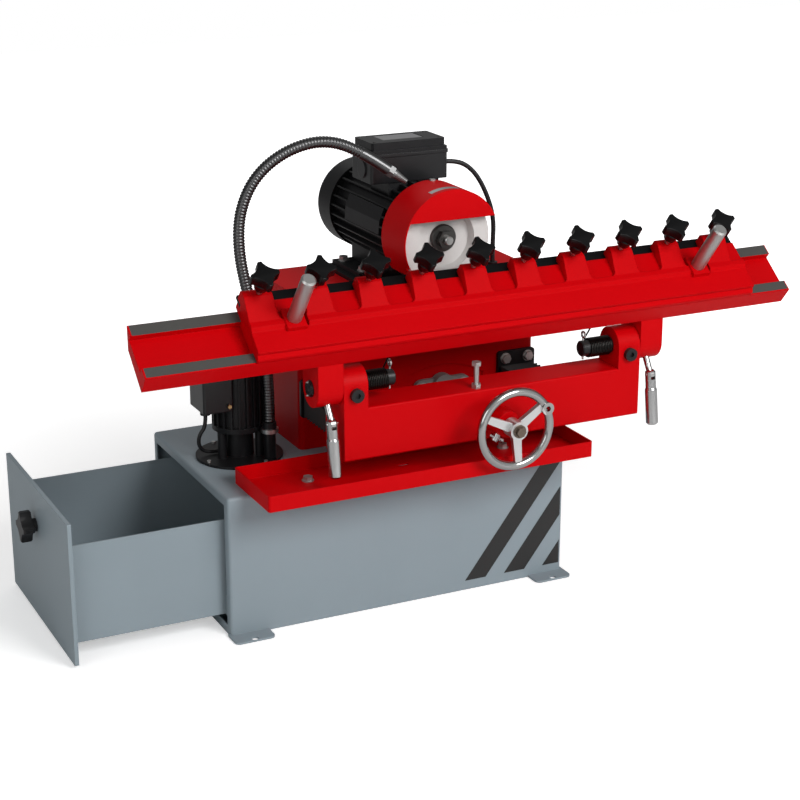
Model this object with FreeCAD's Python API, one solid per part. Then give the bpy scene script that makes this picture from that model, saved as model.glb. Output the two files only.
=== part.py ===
"""Planer knife grinder: a cup wheel on a motor, a sliding knife carriage and a coolant cabinet.

Millimetres. X runs along the machine, Y from the operator to the back and Z up.
The origin is on the floor, in the middle of the four foot holes.
"""
import FreeCAD, Part
import math
import os

Vector = FreeCAD.Vector
ALONG_X = Vector(1, 0, 0)
ALONG_Y = Vector(0, 1, 0)
ALONG_Z = Vector(0, 0, 1)
FULL_TURN = 360.0
RIGHT_ANGLE = FULL_TURN / 4

# General clearances
RUN_FIT = 0.05          # radial clearance of a shaft that turns or slides
SEAT_GAP = 0.3          # gap between pieces of two bodies
BOLT_GAP = 0.25         # radial clearance of a bolt in its hole
OVERRUN = 5.0           # how far a cut runs past a face
SAME = 1e-6             # directions closer than this are one
ARC_SHARE = 0.45        # how much of a cord's shorter run an arc takes
WEDGE_STEPS = 8

# Cabinet of bent sheet
CABINET_LENGTH = 556.0
CABINET_WIDTH = 324.0
CABINET_HEIGHT = 216.0
CABINET_SHEET = 2.0
CABINET_BEND = 5.0
CABINET_END_LIP = 14.0
CABINET_FLOOR_LIP = 20.0
FOOT_INSET = 28.0
FOOT_OUT = 23.0
FOOT_LENGTH = 62.0
FOOT_REACH = 29.0
FOOT_SEAT = 12.0
FOOT_SHEET = 3.0
FOOT_CORNER = 8.0
FOOT_HOLE_RADIUS = 5.5

# Drawer that holds the coolant
DRAWER_LENGTH = 488.0
DRAWER_SIDE_ROOM = 22.0
DRAWER_HEADROOM = 39.0
DRAWER_BOTTOM_Z = 29.0
DRAWER_SHEET = 2.0
DRAWER_BEND = 4.0
DRAWER_OPEN = 232.0
DRAWER_FRONT_SHEET = 2.0
DRAWER_FRONT_OVER = 2.0
DRAWER_FRONT_BOTTOM_Z = 4.0
DRAWER_FRONT_RETURN = 6.0
RUNNER_SHEET = 2.5
RUNNER_LEDGE = 18.0
RUNNER_GUIDE = 30.0
DRAWER_KNOB_Y = 8.0
DRAWER_KNOB_DROP = 59.0
DRAWER_KNOB_RADIUS = 24.0
DRAWER_KNOB_THICKNESS = 17.0
DRAWER_KNOB_STEM_RADIUS = 10.0
DRAWER_KNOB_STEM = 7.0

# Drip tray on the cabinet top
TRAY_LEFT_X = -244.0
TRAY_RIGHT_X = 283.0
TRAY_OUT = 75.0
TRAY_WIDTH = 133.0
TRAY_DEPTH = 24.0
TRAY_SHEET = 2.0
TRAY_CORNER = 4.0
TRAY_BOLT_XS = (-147.0, 177.0)
TRAY_BOLT_IN = 89.0
TRAY_SLOT_X = 8.0
TRAY_SLOT_LENGTH = 16.0
TRAY_SLOT_WIDTH = 6.0

# Column that carries the motor and the feed
COLUMN_LEFT_X = -104.0
COLUMN_RIGHT_X = 301.0
COLUMN_FRONT_Y = -19.0
COLUMN_BACK_Y = 146.0
COLUMN_HEIGHT = 243.0
COLUMN_WALL = 6.0
COLUMN_BEND = 8.0
RELIEF_WIDTH = 150.0
RELIEF_HEIGHT = 105.0
RELIEF_RISE = 22.0
RELIEF_DEPTH = 2.5

# Feed screw, its nut and the ways that guide the beam
SCREW_X = 136.0
SCREW_HEIGHT = 73.0
SCREW_RADIUS = 8.0
SCREW_REACH = 70.0
NUT_DISC_RADIUS = 19.0
NUT_EAR_RADIUS = 12.0
NUT_EAR_SPACING = 72.0
NUT_FLANGE = 8.0
NUT_BOSS = 8.0
WAY_LEFT_X = -71.0
WAY_RIGHT_X = 268.0
WAY_HEIGHT = 73.0
WAY_PLATE_WIDTH = 66.0
WAY_PLATE_BELOW = 20.0
WAY_PLATE_ABOVE = 40.0
WAY_PLATE_THICKNESS = 6.0
WAY_PLATE_CORNER = 5.0
WAY_BOLT_SPREAD = 40.0
WAY_BOLT_RISE = 28.5
GUIDE_RADIUS = 9.0
GUIDE_REACH = 90.0
BELLOWS_WIDTH = 60.0
BELLOWS_HEIGHT = 36.0
BELLOWS_FOLDS = 11
BELLOWS_FOLD_DEPTH = 5.0
BELLOWS_SKIN = 3.0

# Crossbeam that the feed screw moves
BEAM_LEFT_X = -112.0
BEAM_RIGHT_X = 384.0
BEAM_FRONT_Y = -202.0
BEAM_DEPTH = 66.0
BEAM_CLEAR = 42.0
BEAM_HEIGHT = 78.0
BEAM_EDGE = 3.0
BEAM_BOSS_WIDTH = 38.0
PIVOT_Y = -174.0
PIVOT_RISE = 31.5
PIVOT_RADIUS = 12.25
SHAFT_EDGE = 1.5
PIVOT_BOSS_RADIUS = 28.0
PIVOT_INNER_REACH = 90.0
PIVOT_OUTER_PROUD = 3.0
PINCH_RADIUS = 10.0
PINCH_HEAD = 7.0
PINCH_DROP = 10.0
PINCH_SOCKET = 8.0
PINCH_SHANK_RADIUS = 5.0
STOP_X = 108.0
STOP_Y = -188.0
STOP_HEIGHT = 40.0
STOP_RADIUS = 4.0
STOP_ACROSS = 13.0
STOP_NUT = 6.5
STOP_HEAD = 5.5
STOP_DEPTH = 16.0

# Handwheel, its bearing and the screw that locks it
WHEEL_RIM_Y = -258.5
WHEEL_OUTER_RADIUS = 63.0
WHEEL_RIM_RADIUS = 6.5
WHEEL_HUB_RADIUS = 14.0
WHEEL_HUB = 26.0
WHEEL_HUB_OUT = 12.0
WHEEL_SPOKES = 3
WHEEL_SPOKE_ANGLE = 35.0
WHEEL_SPOKE_WIDTH = 15.0
WHEEL_SPOKE_THICKNESS = 8.0
SPOKE_TIP_SHARE = 0.7
CRANK_ANGLE = 27.0
CRANK_BOSS_RADIUS = 9.5
CRANK_BOSS = 15.0
CRANK_HOLE_RADIUS = 4.0
WHEEL_BOLT_ACROSS = 13.0
WHEEL_BOLT_HEAD = 5.5
WHEEL_BOLT_RADIUS = 4.0
WHEEL_WASHER_RADIUS = 10.0
WHEEL_WASHER = 2.0
BEARING_RADIUS = 20.0
BEARING_OUT = 36.0
LOCK_ANGLE = 238.0
LOCK_Y = -224.0
LOCK_RADIUS = 3.0
LOCK_REACH = 31.0
LOCK_BAR_RADIUS = 3.5
LOCK_BAR = 26.0
LOCK_HEAD_RADIUS = 5.5
LOCK_HEAD = 11.0

# Knife rail, tilted about the pivot; W runs up its face and N off its face
RAIL_TILT = 38.4
RAIL_PIVOT_W = -2.6
RAIL_PIVOT_N = -78.5
RAIL_LEFT_X = -410.0
RAIL_RIGHT_X = 645.0
RAIL_WIDTH = 90.2
RAIL_FRONT_DEPTH = 30.5
RAIL_BACK_DEPTH = 26.0
RAIL_BACK_SHARE = 0.75
RAIL_WAY = 18.0
RAIL_RECESS = 10.0
LUG_WIDTH = 39.0
LUG_GAP = 0.4

# Springs that hold the rail up
SPRING_WIRE_RADIUS = 1.7
SPRING_TURNS = 7
SPRING_PITCH = 5.2
SPRING_CLEAR = 0.4
SPRING_END_GAP = 4.0
PIN_RADIUS = 1.6
PIN_INSET = 5.0
PIN_TAIL = 5.0
PIN_EYE_RADIUS = 4.5

# Clamp levers under the lugs
LEVER_PIN_OUT = 29.0
LEVER_PIN_DROP = 47.5
LEVER_SCREW_RADIUS = 5.0
LEVER_EYE_RADIUS = 7.0
LEVER_EYE_WIDTH = 7.0
LEVER_PIN_RADIUS = 2.5
LEVER_FORK_RADIUS = 8.2
LEVER_FORK = 24.0
LEVER_GRIP_RADIUS = 9.5
LEVER_GRIP = 55.0
LEVER_GRIP_TIP = 3.0
LEVER_HANG = 8.0

# Knife carriage on the rail
CARRIAGE_LEFT_X = -250.0
CARRIAGE_RIGHT_X = 572.0
BASE_THICKNESS = 11.7
BASE_BACK_W = 98.0
TONGUE_DEPTH = 9.0
KEEPER_W = 6.0
CLAMP_FRONT_W = 5.0
CLAMP_STEP_W = 38.0
CLAMP_APRON = 4.5
CLAMP_STEP_TOP = 20.0
CLAMP_SHOULDER_W = 43.0
CLAMP_SHOULDER_N = 24.5
ARM_START_W = 52.0
ARM_TOP_W = 86.0
ARM_TOP_N = 38.0
ARM_TIP_W = 100.0
ARM_TIP_N = 34.0
ARM_TIP = 5.0
ARM_COUNT = 10
ARM_FIRST_X = -226.0
ARM_SPACING = 83.7
POCKET_WIDTH = 42.0
POCKET_MOUTH = 50.0
POCKET_FLOOR = 20.5
POCKET_CORNER = 7.0
BAR_FRONT_W = 88.3
BAR_WIDTH = 17.0
BAR_THICKNESS = 6.0
KNOB_W = 91.0
KNOB_STUD_RADIUS = 4.0
KNOB_FOOT_N = 43.0
KNOB_COLLAR_RADIUS = 13.5
KNOB_COLLAR_LOW_RADIUS = 9.0
KNOB_COLLAR = 27.0
KNOB_LIP_RADIUS = 16.5
KNOB_LIP = 4.0
KNOB_RADIUS = 22.0
KNOB_THICKNESS = 26.0
KNOB_TURN = 20.0
LOBES = 4
SCALLOP_SHARE = 0.95
SCALLOP_PLACE_SHARE = 1.52
KNOB_CROWN = 2.0
HANDLE_W = 50.0
HANDLE_RADIUS = 10.7
HANDLE_LOW_N = 26.5
HANDLE_TOP_N = 113.0
HANDLE_TIP = 2.5
HANDLE_PAD = 30.0
HANDLE_PAD_W = 34.0
HANDLE_SLOT = 5.0
HANDLE_SLOT_W = 22.0

# Motor, wheel and guard on one axis along Y
MOTOR_X = 92.5
MOTOR_RISE = 87.7
MOTOR_FRONT_Y = -60.0
MOTOR_BACK_Y = 150.0
CORE_RADIUS = 58.0
FIN_RADIUS = 68.0
FIN_COUNT = 28
FIN_THICKNESS = 2.6
STATOR_RADIUS = 34.4
MOTOR_PAD_HALF = 42.0
MOTOR_FOOT_HALF = 80.0
MOTOR_FOOT_FRONT_Y = 16.0
MOTOR_FOOT_BACK_Y = 116.0
MOTOR_FOOT = 8.0
MOTOR_SADDLE_HALF = 46.0
MOTOR_BOLT_HALF = 67.0
MOTOR_BOLT_YS = (30.0, 102.0)
PLATE_LEFT_X = 2.0
PLATE_RIGHT_X = 183.0
PLATE_FRONT_Y = 8.0
PLATE_BACK_Y = 124.0
PLATE_THICKNESS = 6.0
PLATE_CORNER = 6.0
SHIELD_FRONT_Y = -74.0
SHIELD_RADIUS = 75.8
SHIELD_HUB_RADIUS = 30.0
SHIELD_HUB = 3.0
BALL_OUTER_RADIUS = 20.0
BALL_WIDTH = 12.0
SHAFT_RADIUS = 10.0
ROTOR_RADIUS = 34.0
ROTOR_END_GAP = 12.0
COVER_RADIUS = 70.6
COVER_WALL = 2.0
COVER_LENGTH = 52.0
COVER_DOME = 14.0
COVER_LAP = 4.0
COVER_SLOTS = 16
COVER_SLOT_WIDTH = 5.0
COVER_SLOT_INNER = 22.0
COVER_SLOT_OUTER = 50.0
FAN_RADIUS = 56.0
FAN_HUB_RADIUS = 17.0
FAN_WIDTH = 20.0
FAN_BLADES = 7
FAN_BLADE = 2.5
FAN_DISC = 3.0
CUP_RADIUS = 71.0
CUP_FRONT_Y = -119.0
CUP_DEPTH = 36.0
CUP_BORE_RADIUS = 16.0
CUP_RECESS_RADIUS = 46.0
CUP_RECESS = 14.0
CUP_EDGE = 1.5
FLANGE_RADIUS = 20.5
FLANGE_THICKNESS = 6.0
REAR_FLANGE_RADIUS = 27.0
REAR_FLANGE = 4.0
SPINDLE_RADIUS = 8.0
SPINDLE_NUT_ACROSS = 24.0
SPINDLE_NUT = 10.0
SPINDLE_END = 8.0
THREAD_RADIUS = 6.5
THREAD_EDGE = 0.8
GUARD_RADIUS = 78.0
GUARD_SHEET = 2.0
GUARD_FRONT_Y = -138.0
GUARD_RIGHT_ANGLE = 26.0
GUARD_LEFT_ANGLE = 220.0
GUARD_CHORD = 33.3
GUARD_NOTCH_DEPTH = 12.0
GUARD_NOTCH_DROP = 32.7
GUARD_SCREW_ANGLES = (88.0, 207.0)
GUARD_SCREW_RADIUS = 4.5
GUARD_SCREW_HEAD = 2.5
BOX_LEFT_X = 20.0
BOX_RIGHT_X = 148.0
BOX_FRONT_Y = -14.0
BOX_BACK_Y = 56.0
BOX_RISE = 68.3
BOX_HEIGHT = 44.0
BOX_CORNER = 4.0
LID_HEIGHT = 17.0
LID_INSET = 3.0
LID_RIM = 5.0
LID_RIM_PROUD = 1.2
LID_PANEL_HALF = 34.0
LID_PANEL_FRONT = 22.0
LID_PANEL_BACK = 60.0
LID_PANEL_DEPTH = 1.0
KNOCKOUT_RADIUS = 14.0
KNOCKOUT = 2.0
KNOCKOUT_Y = 18.0
KNOCKOUT_UP = 19.0
MOTOR_GLAND_Y = 32.0
MOTOR_GLAND_UP = 15.0
GLAND_RADIUS = 9.0
GLAND_BODY_RADIUS = 7.8
GLAND_LENGTH = 14.0
GLAND_NUT = 5.0
CABLE_RADIUS = 3.7
PUMP_CABLE_RADIUS = 3.0
CABLE_ENTRY_RADIUS = 8.0
CABLE_ENTRY_HEIGHT = 12.0
GROMMET_RADIUS = 8.0
GROMMET = 4.0

# Coolant pump on the cabinet top
PUMP_X = -195.0
PUMP_Y = 3.0
PUMP_FLANGE_RADIUS = 66.0
PUMP_FLANGE = 4.0
PUMP_POST_RADIUS = 7.0
PUMP_POSTS = 3
PUMP_POST_ANGLE = 80.0
PUMP_STEM_RADIUS = 24.0
PUMP_STEM_CLEAR = 15.0
PUMP_STEM_SLOTS = 4
PUMP_STEM_SLOT = 9.0
PUMP_MOTOR_RISE = 46.0
PUMP_MOTOR_RADIUS = 40.0
PUMP_MOTOR_FIN_DEPTH = 5.0
PUMP_MOTOR_HEIGHT = 90.0
PUMP_MOTOR_BASE = 8.0
PUMP_MOTOR_FINS = 20
PUMP_MOTOR_FIN = 3.0
PUMP_CAP = 20.0
PUMP_CAP_RADIUS = 42.0
PUMP_NECK_RADIUS = 22.0
PUMP_BOX_LEFT_X = -262.0
PUMP_BOX_RIGHT_X = -214.0
PUMP_BOX_FRONT_Y = -32.0
PUMP_BOX_BACK_Y = 30.0
PUMP_BOX_RISE = 38.0
PUMP_BOX_HEIGHT = 68.0
PUMP_BOX_CORNER = 4.0
PUMP_SCREW_RADIUS = 3.0
PUMP_SCREW_COUNT = 4
PUMP_SCREW_CIRCLE = 60.0
PUMP_SCREW_ANGLE = 20.0
PIPE_X = -162.0
PIPE_Y = -40.0
PIPE_RADIUS = 9.0
PIPE_RISE = 46.0
PIPE_BORE_RADIUS = 5.0
RING_RADIUS = 13.5
RING_HEIGHT = 6.0
SOCKET_RADIUS = 10.5

# Ribbed coolant hose and its nozzle
HOSE_RADIUS = 8.8
HOSE_ROOT_RADIUS = 7.8
HOSE_BORE_RADIUS = 5.0
HOSE_RIBS = 72
HOSE_RIB_SHARES = (0.0, 0.25, 0.5, 0.75)
NOZZLE_ACROSS = 17.0
NOZZLE_NUT = 8.0
NOZZLE_COLLAR_RADIUS = 7.5
NOZZLE_COLLAR = 4.0
NOZZLE_CONE = 20.0
NOZZLE_CONE_RADIUS = 7.0
NOZZLE_TIP_RADIUS = 4.0
NOZZLE_BORE_RADIUS = 2.5

# Bolts: width across flats, head height, washer radius and thickness, shank radius
M8_ACROSS = 13.0
M8_HEAD = 5.5
M8_RADIUS = 4.0
M8_WASHER_RADIUS = 9.0
M8_WASHER = 1.6
M8_SHANK = 14.0

# Routes of the cords, as points chosen by hand: X, Y and the height over the cabinet
HOSE_POINTS = [(-162, -40, 62), (-162, -40, 106), (-165, -41, 156), (-175, -34, 210), (-187, -23, 266),
               (-194, -14, 324), (-189, -10, 380), (-164, -13, 430), (-118, -20, 464), (-64, -31, 477),
               (-14, -43, 460), (28, -57, 429)]
MOTOR_CABLE_POINTS = [(162, 32, 414), (188, 32, 414), (216, 31, 397), (238, 30, 362), (253, 29, 318),
                      (251, 28, 274), (251, 28, 247)]
PUMP_CABLE_POINTS = [(-247, 4, 72), (-247, 4, 53), (-257, 8, 39), (-257, 11, 21), (-244, 14, 8),
                     (-225, 14, 8)]

# Worked out from the sizes above
CABINET_HALF = CABINET_LENGTH / 2
CABINET_SIDE = CABINET_WIDTH / 2
FOOT_SPACING_X = CABINET_LENGTH - FOOT_INSET * 2
FOOT_SPACING_Y = CABINET_WIDTH + FOOT_OUT * 2
DRAWER_WIDTH = CABINET_WIDTH - DRAWER_SIDE_ROOM * 2
DRAWER_HEIGHT = CABINET_HEIGHT - DRAWER_HEADROOM - DRAWER_BOTTOM_Z
DRAWER_FRONT_TOP_Z = CABINET_HEIGHT + DRAWER_FRONT_OVER
DRAWER_KNOB_Z = CABINET_HEIGHT - DRAWER_KNOB_DROP
TRAY_FRONT_Y = -CABINET_SIDE - TRAY_OUT
TRAY_BACK_Y = TRAY_FRONT_Y + TRAY_WIDTH
TRAY_BOLT_Y = TRAY_FRONT_Y + TRAY_BOLT_IN
COLUMN_TOP_Z = CABINET_HEIGHT + COLUMN_HEIGHT
RELIEF_TOP_Z = CABINET_HEIGHT + RELIEF_HEIGHT
SCREW_Z = CABINET_HEIGHT + SCREW_HEIGHT
WAY_Z = CABINET_HEIGHT + WAY_HEIGHT
BEAM_BACK_Y = BEAM_FRONT_Y + BEAM_DEPTH
BEAM_BOTTOM_Z = CABINET_HEIGHT + BEAM_CLEAR
BEAM_TOP_Z = BEAM_BOTTOM_Z + BEAM_HEIGHT
PIVOT_Z = BEAM_TOP_Z + PIVOT_RISE
STOP_TOP_Z = BEAM_TOP_Z + STOP_HEIGHT
LEVER_PIN_Y = PIVOT_Y - LEVER_PIN_OUT
LEVER_PIN_Z = PIVOT_Z - LEVER_PIN_DROP
MOTOR_Z = COLUMN_TOP_Z + MOTOR_RISE
GUARD_CHORD_Z = MOTOR_Z + GUARD_CHORD
GUARD_NOTCH_TOP_Z = MOTOR_Z - GUARD_NOTCH_DROP
BOX_BOTTOM_Z = MOTOR_Z + BOX_RISE
KNOCKOUT_Z = BOX_BOTTOM_Z + KNOCKOUT_UP
MOTOR_GLAND_Z = BOX_BOTTOM_Z + MOTOR_GLAND_UP
PUMP_STEM_BOTTOM_Z = DRAWER_BOTTOM_Z + PUMP_STEM_CLEAR
PUMP_MOTOR_BOTTOM_Z = CABINET_HEIGHT + PUMP_MOTOR_RISE
PUMP_BOX_BOTTOM_Z = PUMP_MOTOR_BOTTOM_Z + PUMP_BOX_RISE
PIPE_TOP_Z = CABINET_HEIGHT + PIPE_RISE
HOSE_ROUTE = [(x, y, CABINET_HEIGHT + up) for x, y, up in HOSE_POINTS]
MOTOR_CABLE_ROUTE = [(x, y, CABINET_HEIGHT + up) for x, y, up in MOTOR_CABLE_POINTS]
PUMP_CABLE_ROUTE = [(x, y, CABINET_HEIGHT + up) for x, y, up in PUMP_CABLE_POINTS]
RAIL_SIN = math.sin(math.radians(RAIL_TILT))
RAIL_COS = math.cos(math.radians(RAIL_TILT))
RAIL_Y = PIVOT_Y - (RAIL_PIVOT_W * RAIL_COS - RAIL_PIVOT_N * RAIL_SIN)
RAIL_Z = PIVOT_Z - (RAIL_PIVOT_W * RAIL_SIN + RAIL_PIVOT_N * RAIL_COS)
print("rail corner", RAIL_Y, RAIL_Z)


# Building blocks

def unit(vector):
    return vector * (1 / vector.Length)


def box(x0, x1, y0, y1, z0, z1):
    """A block between two corners."""
    return Part.makeBox(x1 - x0, y1 - y0, z1 - z0, Vector(x0, y0, z0))


def rod(start, axis, radius, length):
    """A round bar from its start along an axis."""
    return Part.makeCylinder(radius, length, start, axis)


def prism(points, sweep):
    """A closed outline of points swept along a vector."""
    corners = [Vector(*point) for point in points]
    return Part.Face(Part.makePolygon(corners + corners[:1])).extrude(sweep)


def spun(profile, origin, axis):
    """A solid of revolution from (radius, height) pairs round an axis."""
    side = unit(ALONG_Z.cross(axis)) if axis.cross(ALONG_Z).Length > SAME else ALONG_X
    corners = [origin + side * radius + axis * height for radius, height in profile]
    return Part.Face(Part.makePolygon(corners + corners[:1])).revolve(origin, axis, FULL_TURN)


def united(shapes):
    """One solid from overlapping or touching solids."""
    return shapes[0].multiFuse(shapes[1:]).removeSplitter()


def without(shape, cutters):
    """A shape less all the cutters."""
    return shape.cut(Part.makeCompound(cutters))


def lies_along(edge, axis):
    """Whether an edge is straight and runs along an axis."""
    straight = edge.Curve.TypeId == "Part::GeomLine"
    return straight and edge.tangentAt(edge.FirstParameter).cross(axis).Length < SAME


def rounded(shape, radius, axis):
    """A shape with its straight edges along an axis rounded."""
    return shape.makeFillet(radius, [edge for edge in shape.Edges if lies_along(edge, axis)])


def rounded_box(x0, x1, y0, y1, z0, z1, radius, axis=ALONG_Z):
    """A block with the four edges along an axis rounded."""
    return rounded(box(x0, x1, y0, y1, z0, z1), radius, axis)


def hexagon(start, axis, across, height):
    """A hexagonal bar, given by its width across flats."""
    side = unit(ALONG_Z.cross(axis)) if axis.cross(ALONG_Z).Length > SAME else ALONG_X
    other = axis.cross(side)
    radius = across / 2 / math.cos(math.radians(FULL_TURN / 12))
    corners = []
    for index in range(6):
        angle = math.radians(index * FULL_TURN / 6)
        corners.append(start + side * (radius * math.cos(angle)) + other * (radius * math.sin(angle)))
    return Part.Face(Part.makePolygon(corners + corners[:1])).extrude(axis * height)


def bolt(seat, axis, shank=M8_SHANK):
    """An M8 hexagon bolt with a washer; its axis points from the seat out through its head."""
    washer = rod(seat, axis, M8_WASHER_RADIUS, M8_WASHER)
    head = hexagon(seat + axis * M8_WASHER, axis, M8_ACROSS, M8_HEAD)
    stem = rod(seat - axis * shank, axis, M8_RADIUS, shank + M8_WASHER)
    return united([washer, head, stem])


def bolt_hole(seat, axis, depth=M8_SHANK):
    """The clearance hole of an M8 bolt below its seat."""
    return rod(seat - axis * (depth + BOLT_GAP), axis, M8_RADIUS + BOLT_GAP, depth + BOLT_GAP + OVERRUN)


def round_about(axis_x, axis_z, radius, angle, y):
    """A point on a circle round an axis along Y, by its angle above +X."""
    turn = math.radians(angle)
    return Vector(axis_x + radius * math.cos(turn), y, axis_z + radius * math.sin(turn))


def star(radius, thickness):
    """A four-lobed grip with hollow sides, standing on the origin along Z."""
    blank = Part.makeCylinder(radius, thickness)
    rims = [edge for edge in blank.Edges if edge.Curve.TypeId == "Part::GeomCircle"]
    blank = blank.makeChamfer(KNOB_CROWN, rims)
    place = radius * SCALLOP_PLACE_SHARE
    cutters = []
    for lobe in range(LOBES):
        turn = math.radians(lobe * FULL_TURN / LOBES)
        foot = Vector(place * math.cos(turn), place * math.sin(turn), -OVERRUN)
        cutters.append(rod(foot, ALONG_Z, radius * SCALLOP_SHARE, thickness + OVERRUN * 2))
    return without(blank, cutters)


def on_rail(shape):
    """Moves a shape from the rail's own frame, X, W and N, to its tilted place."""
    moved = shape.copy()
    moved.rotate(Vector(0, 0, 0), ALONG_X, RAIL_TILT)
    moved.translate(Vector(0, RAIL_Y, RAIL_Z))
    return moved


# Cords: straight runs joined by tangent arcs

def route_edges(name, points):
    """The runs and arcs of a route, each arc as large as its two runs allow."""
    corners = [Vector(*point) for point in points]
    edges, radii, start = [], [], corners[0]
    for before, corner, after in zip(corners, corners[1:], corners[2:]):
        inward = unit(corner - before)
        outward = unit(after - corner)
        half_turn = inward.getAngle(outward) / 2
        trim = ARC_SHARE * min((corner - before).Length, (after - corner).Length)
        radius = trim / math.tan(half_turn)
        middle = corner + unit(outward - inward) * (radius / math.cos(half_turn) - radius)
        arc_start = corner - inward * trim
        arc_end = corner + outward * trim
        edges.append(Part.LineSegment(start, arc_start).toShape())
        edges.append(Part.Arc(arc_start, middle, arc_end).toShape())
        radii.append(round(radius, 1))
        start = arc_end
    edges.append(Part.LineSegment(start, corners[-1]).toShape())
    print(name, "arc radii", radii, "length", round(sum(edge.Length for edge in edges), 1))
    return edges


def swept(name, edges, radius):
    """A round bar along joined edges, with its volume compared with section times length."""
    start = edges[0].Vertexes[0].Point
    section = Part.Wire([Part.makeCircle(radius, start, edges[0].tangentAt(edges[0].FirstParameter))])
    solid = Part.Wire(edges).makePipeShell([section], True, False)
    length = sum(edge.Length for edge in edges)
    print(name, "volume ratio", round(solid.Volume / (math.pi * radius ** 2 * length), 4))
    return solid


def point_on(edges, distance):
    """The point and direction at a distance along joined edges."""
    for edge in edges:
        if distance <= edge.Length or edge is edges[-1]:
            place = edge.getParameterByLength(min(distance, edge.Length))
            return edge.valueAt(place), edge.tangentAt(place)
        distance -= edge.Length


def ring_across(edges, distance, radius):
    """A circle across a route whose X axis stays square to Y."""
    place, forward = point_on(edges, distance)
    steady = unit(ALONG_Y.cross(forward))
    circle = Part.Wire([Part.makeCircle(radius)])
    circle.Placement = FreeCAD.Placement(place, FreeCAD.Rotation(steady, forward.cross(steady), forward))
    return circle


# Cabinet and drawer

def drawer_left():
    return -CABINET_HALF - DRAWER_OPEN - SEAT_GAP


def make_cabinet_shell():
    half, side, sheet = CABINET_HALF, CABINET_SIDE, CABINET_SHEET
    outer = box(-half, half, -side, side, 0, CABINET_HEIGHT)
    bends = [edge for edge in outer.Edges if max(v.Z for v in edge.Vertexes) > 0]
    shell = outer.makeFillet(CABINET_BEND, bends)
    inside = box(sheet - half, half - sheet, sheet - side, side - sheet, sheet, CABINET_HEIGHT - sheet)
    lip = CABINET_FLOOR_LIP
    floor = box(lip - half, half - lip, lip - side, side - lip, -OVERRUN, sheet + OVERRUN)
    end_lip = CABINET_END_LIP
    mouth = box(-half - OVERRUN, OVERRUN - half, end_lip - side, side - end_lip, end_lip,
                CABINET_HEIGHT - end_lip)
    stem_hole = rod(Vector(PUMP_X, PUMP_Y, 0), ALONG_Z, PUMP_STEM_RADIUS + OVERRUN, CABINET_HEIGHT * 2)
    shell = without(shell, [inside, floor, mouth, stem_hole])
    return united([shell] + cabinet_feet() + cabinet_runners()).cut(Part.makeCompound(top_bolt_holes()))


def top_bolt_holes():
    """Holes in the cabinet top for the tray and pump bolts."""
    holes = [bolt_hole(seat, ALONG_Z) for seat in tray_bolt_seats()]
    for place in pump_screw_places(CABINET_HEIGHT):
        holes.append(rod(place - ALONG_Z * OVERRUN, ALONG_Z, PUMP_SCREW_RADIUS / 2 + BOLT_GAP, OVERRUN * 2))
    return holes


def cabinet_feet():
    """Tabs with a hole for a floor bolt at each corner."""
    feet = []
    for x_side in (-1, 1):
        for y_side in (-1, 1):
            x = x_side * FOOT_SPACING_X / 2
            x0 = x - FOOT_LENGTH / 2
            y0 = CABINET_SIDE - FOOT_SEAT
            y1 = CABINET_SIDE + FOOT_REACH
            foot = rounded_box(x0, x0 + FOOT_LENGTH, y0, y1, 0, FOOT_SHEET, FOOT_CORNER)
            hole = Vector(x, FOOT_SPACING_Y / 2, -OVERRUN)
            foot = foot.cut(rod(hole, ALONG_Z, FOOT_HOLE_RADIUS, FOOT_SHEET + OVERRUN * 2))
            if y_side < 0:
                foot = foot.mirror(Vector(0, 0, 0), ALONG_Y)
            feet.append(foot)
    return feet


def cabinet_runners():
    """Ledges with an upright guide that carry the drawer."""
    runners = []
    top = DRAWER_BOTTOM_Z - SEAT_GAP
    guide = DRAWER_WIDTH / 2 + SEAT_GAP
    x0, x1 = CABINET_SHEET - CABINET_HALF, CABINET_HALF - CABINET_SHEET
    wall = CABINET_SIDE - CABINET_SHEET
    for y_side in (-1, 1):
        ledge = box(x0, x1, guide - RUNNER_LEDGE, wall, top - RUNNER_SHEET, top)
        upright = box(x0, x1, guide, guide + RUNNER_SHEET, top - RUNNER_SHEET, top + RUNNER_GUIDE)
        runner = ledge.fuse(upright)
        runners.append(runner if y_side > 0 else runner.mirror(Vector(0, 0, 0), ALONG_Y))
    return runners


def make_drawer_box():
    x0 = drawer_left()
    side = DRAWER_WIDTH / 2
    top = DRAWER_BOTTOM_Z + DRAWER_HEIGHT
    sheet = DRAWER_SHEET
    outer = rounded_box(x0, x0 + DRAWER_LENGTH, -side, side, DRAWER_BOTTOM_Z, top, DRAWER_BEND)
    inner = box(x0 + sheet, x0 + DRAWER_LENGTH - sheet, sheet - side, side - sheet,
                DRAWER_BOTTOM_Z + sheet, top + OVERRUN)
    return outer.cut(inner)


def make_drawer_front():
    """The front plate, turned in round its edges."""
    x1 = drawer_left()
    depth = DRAWER_FRONT_RETURN
    sheet = DRAWER_FRONT_SHEET
    outer = box(x1 - sheet, x1 + depth - sheet, -CABINET_SIDE, CABINET_SIDE,
                DRAWER_FRONT_BOTTOM_Z, DRAWER_FRONT_TOP_Z)
    inner = box(x1, x1 + depth, sheet - CABINET_SIDE, CABINET_SIDE - sheet,
                DRAWER_FRONT_BOTTOM_Z + sheet, DRAWER_FRONT_TOP_Z - sheet)
    hole = rod(Vector(x1 - OVERRUN, DRAWER_KNOB_Y, DRAWER_KNOB_Z), ALONG_X, M8_RADIUS + BOLT_GAP, OVERRUN * 2)
    return rounded(outer, sheet, ALONG_X).cut(inner).cut(hole)


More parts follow.
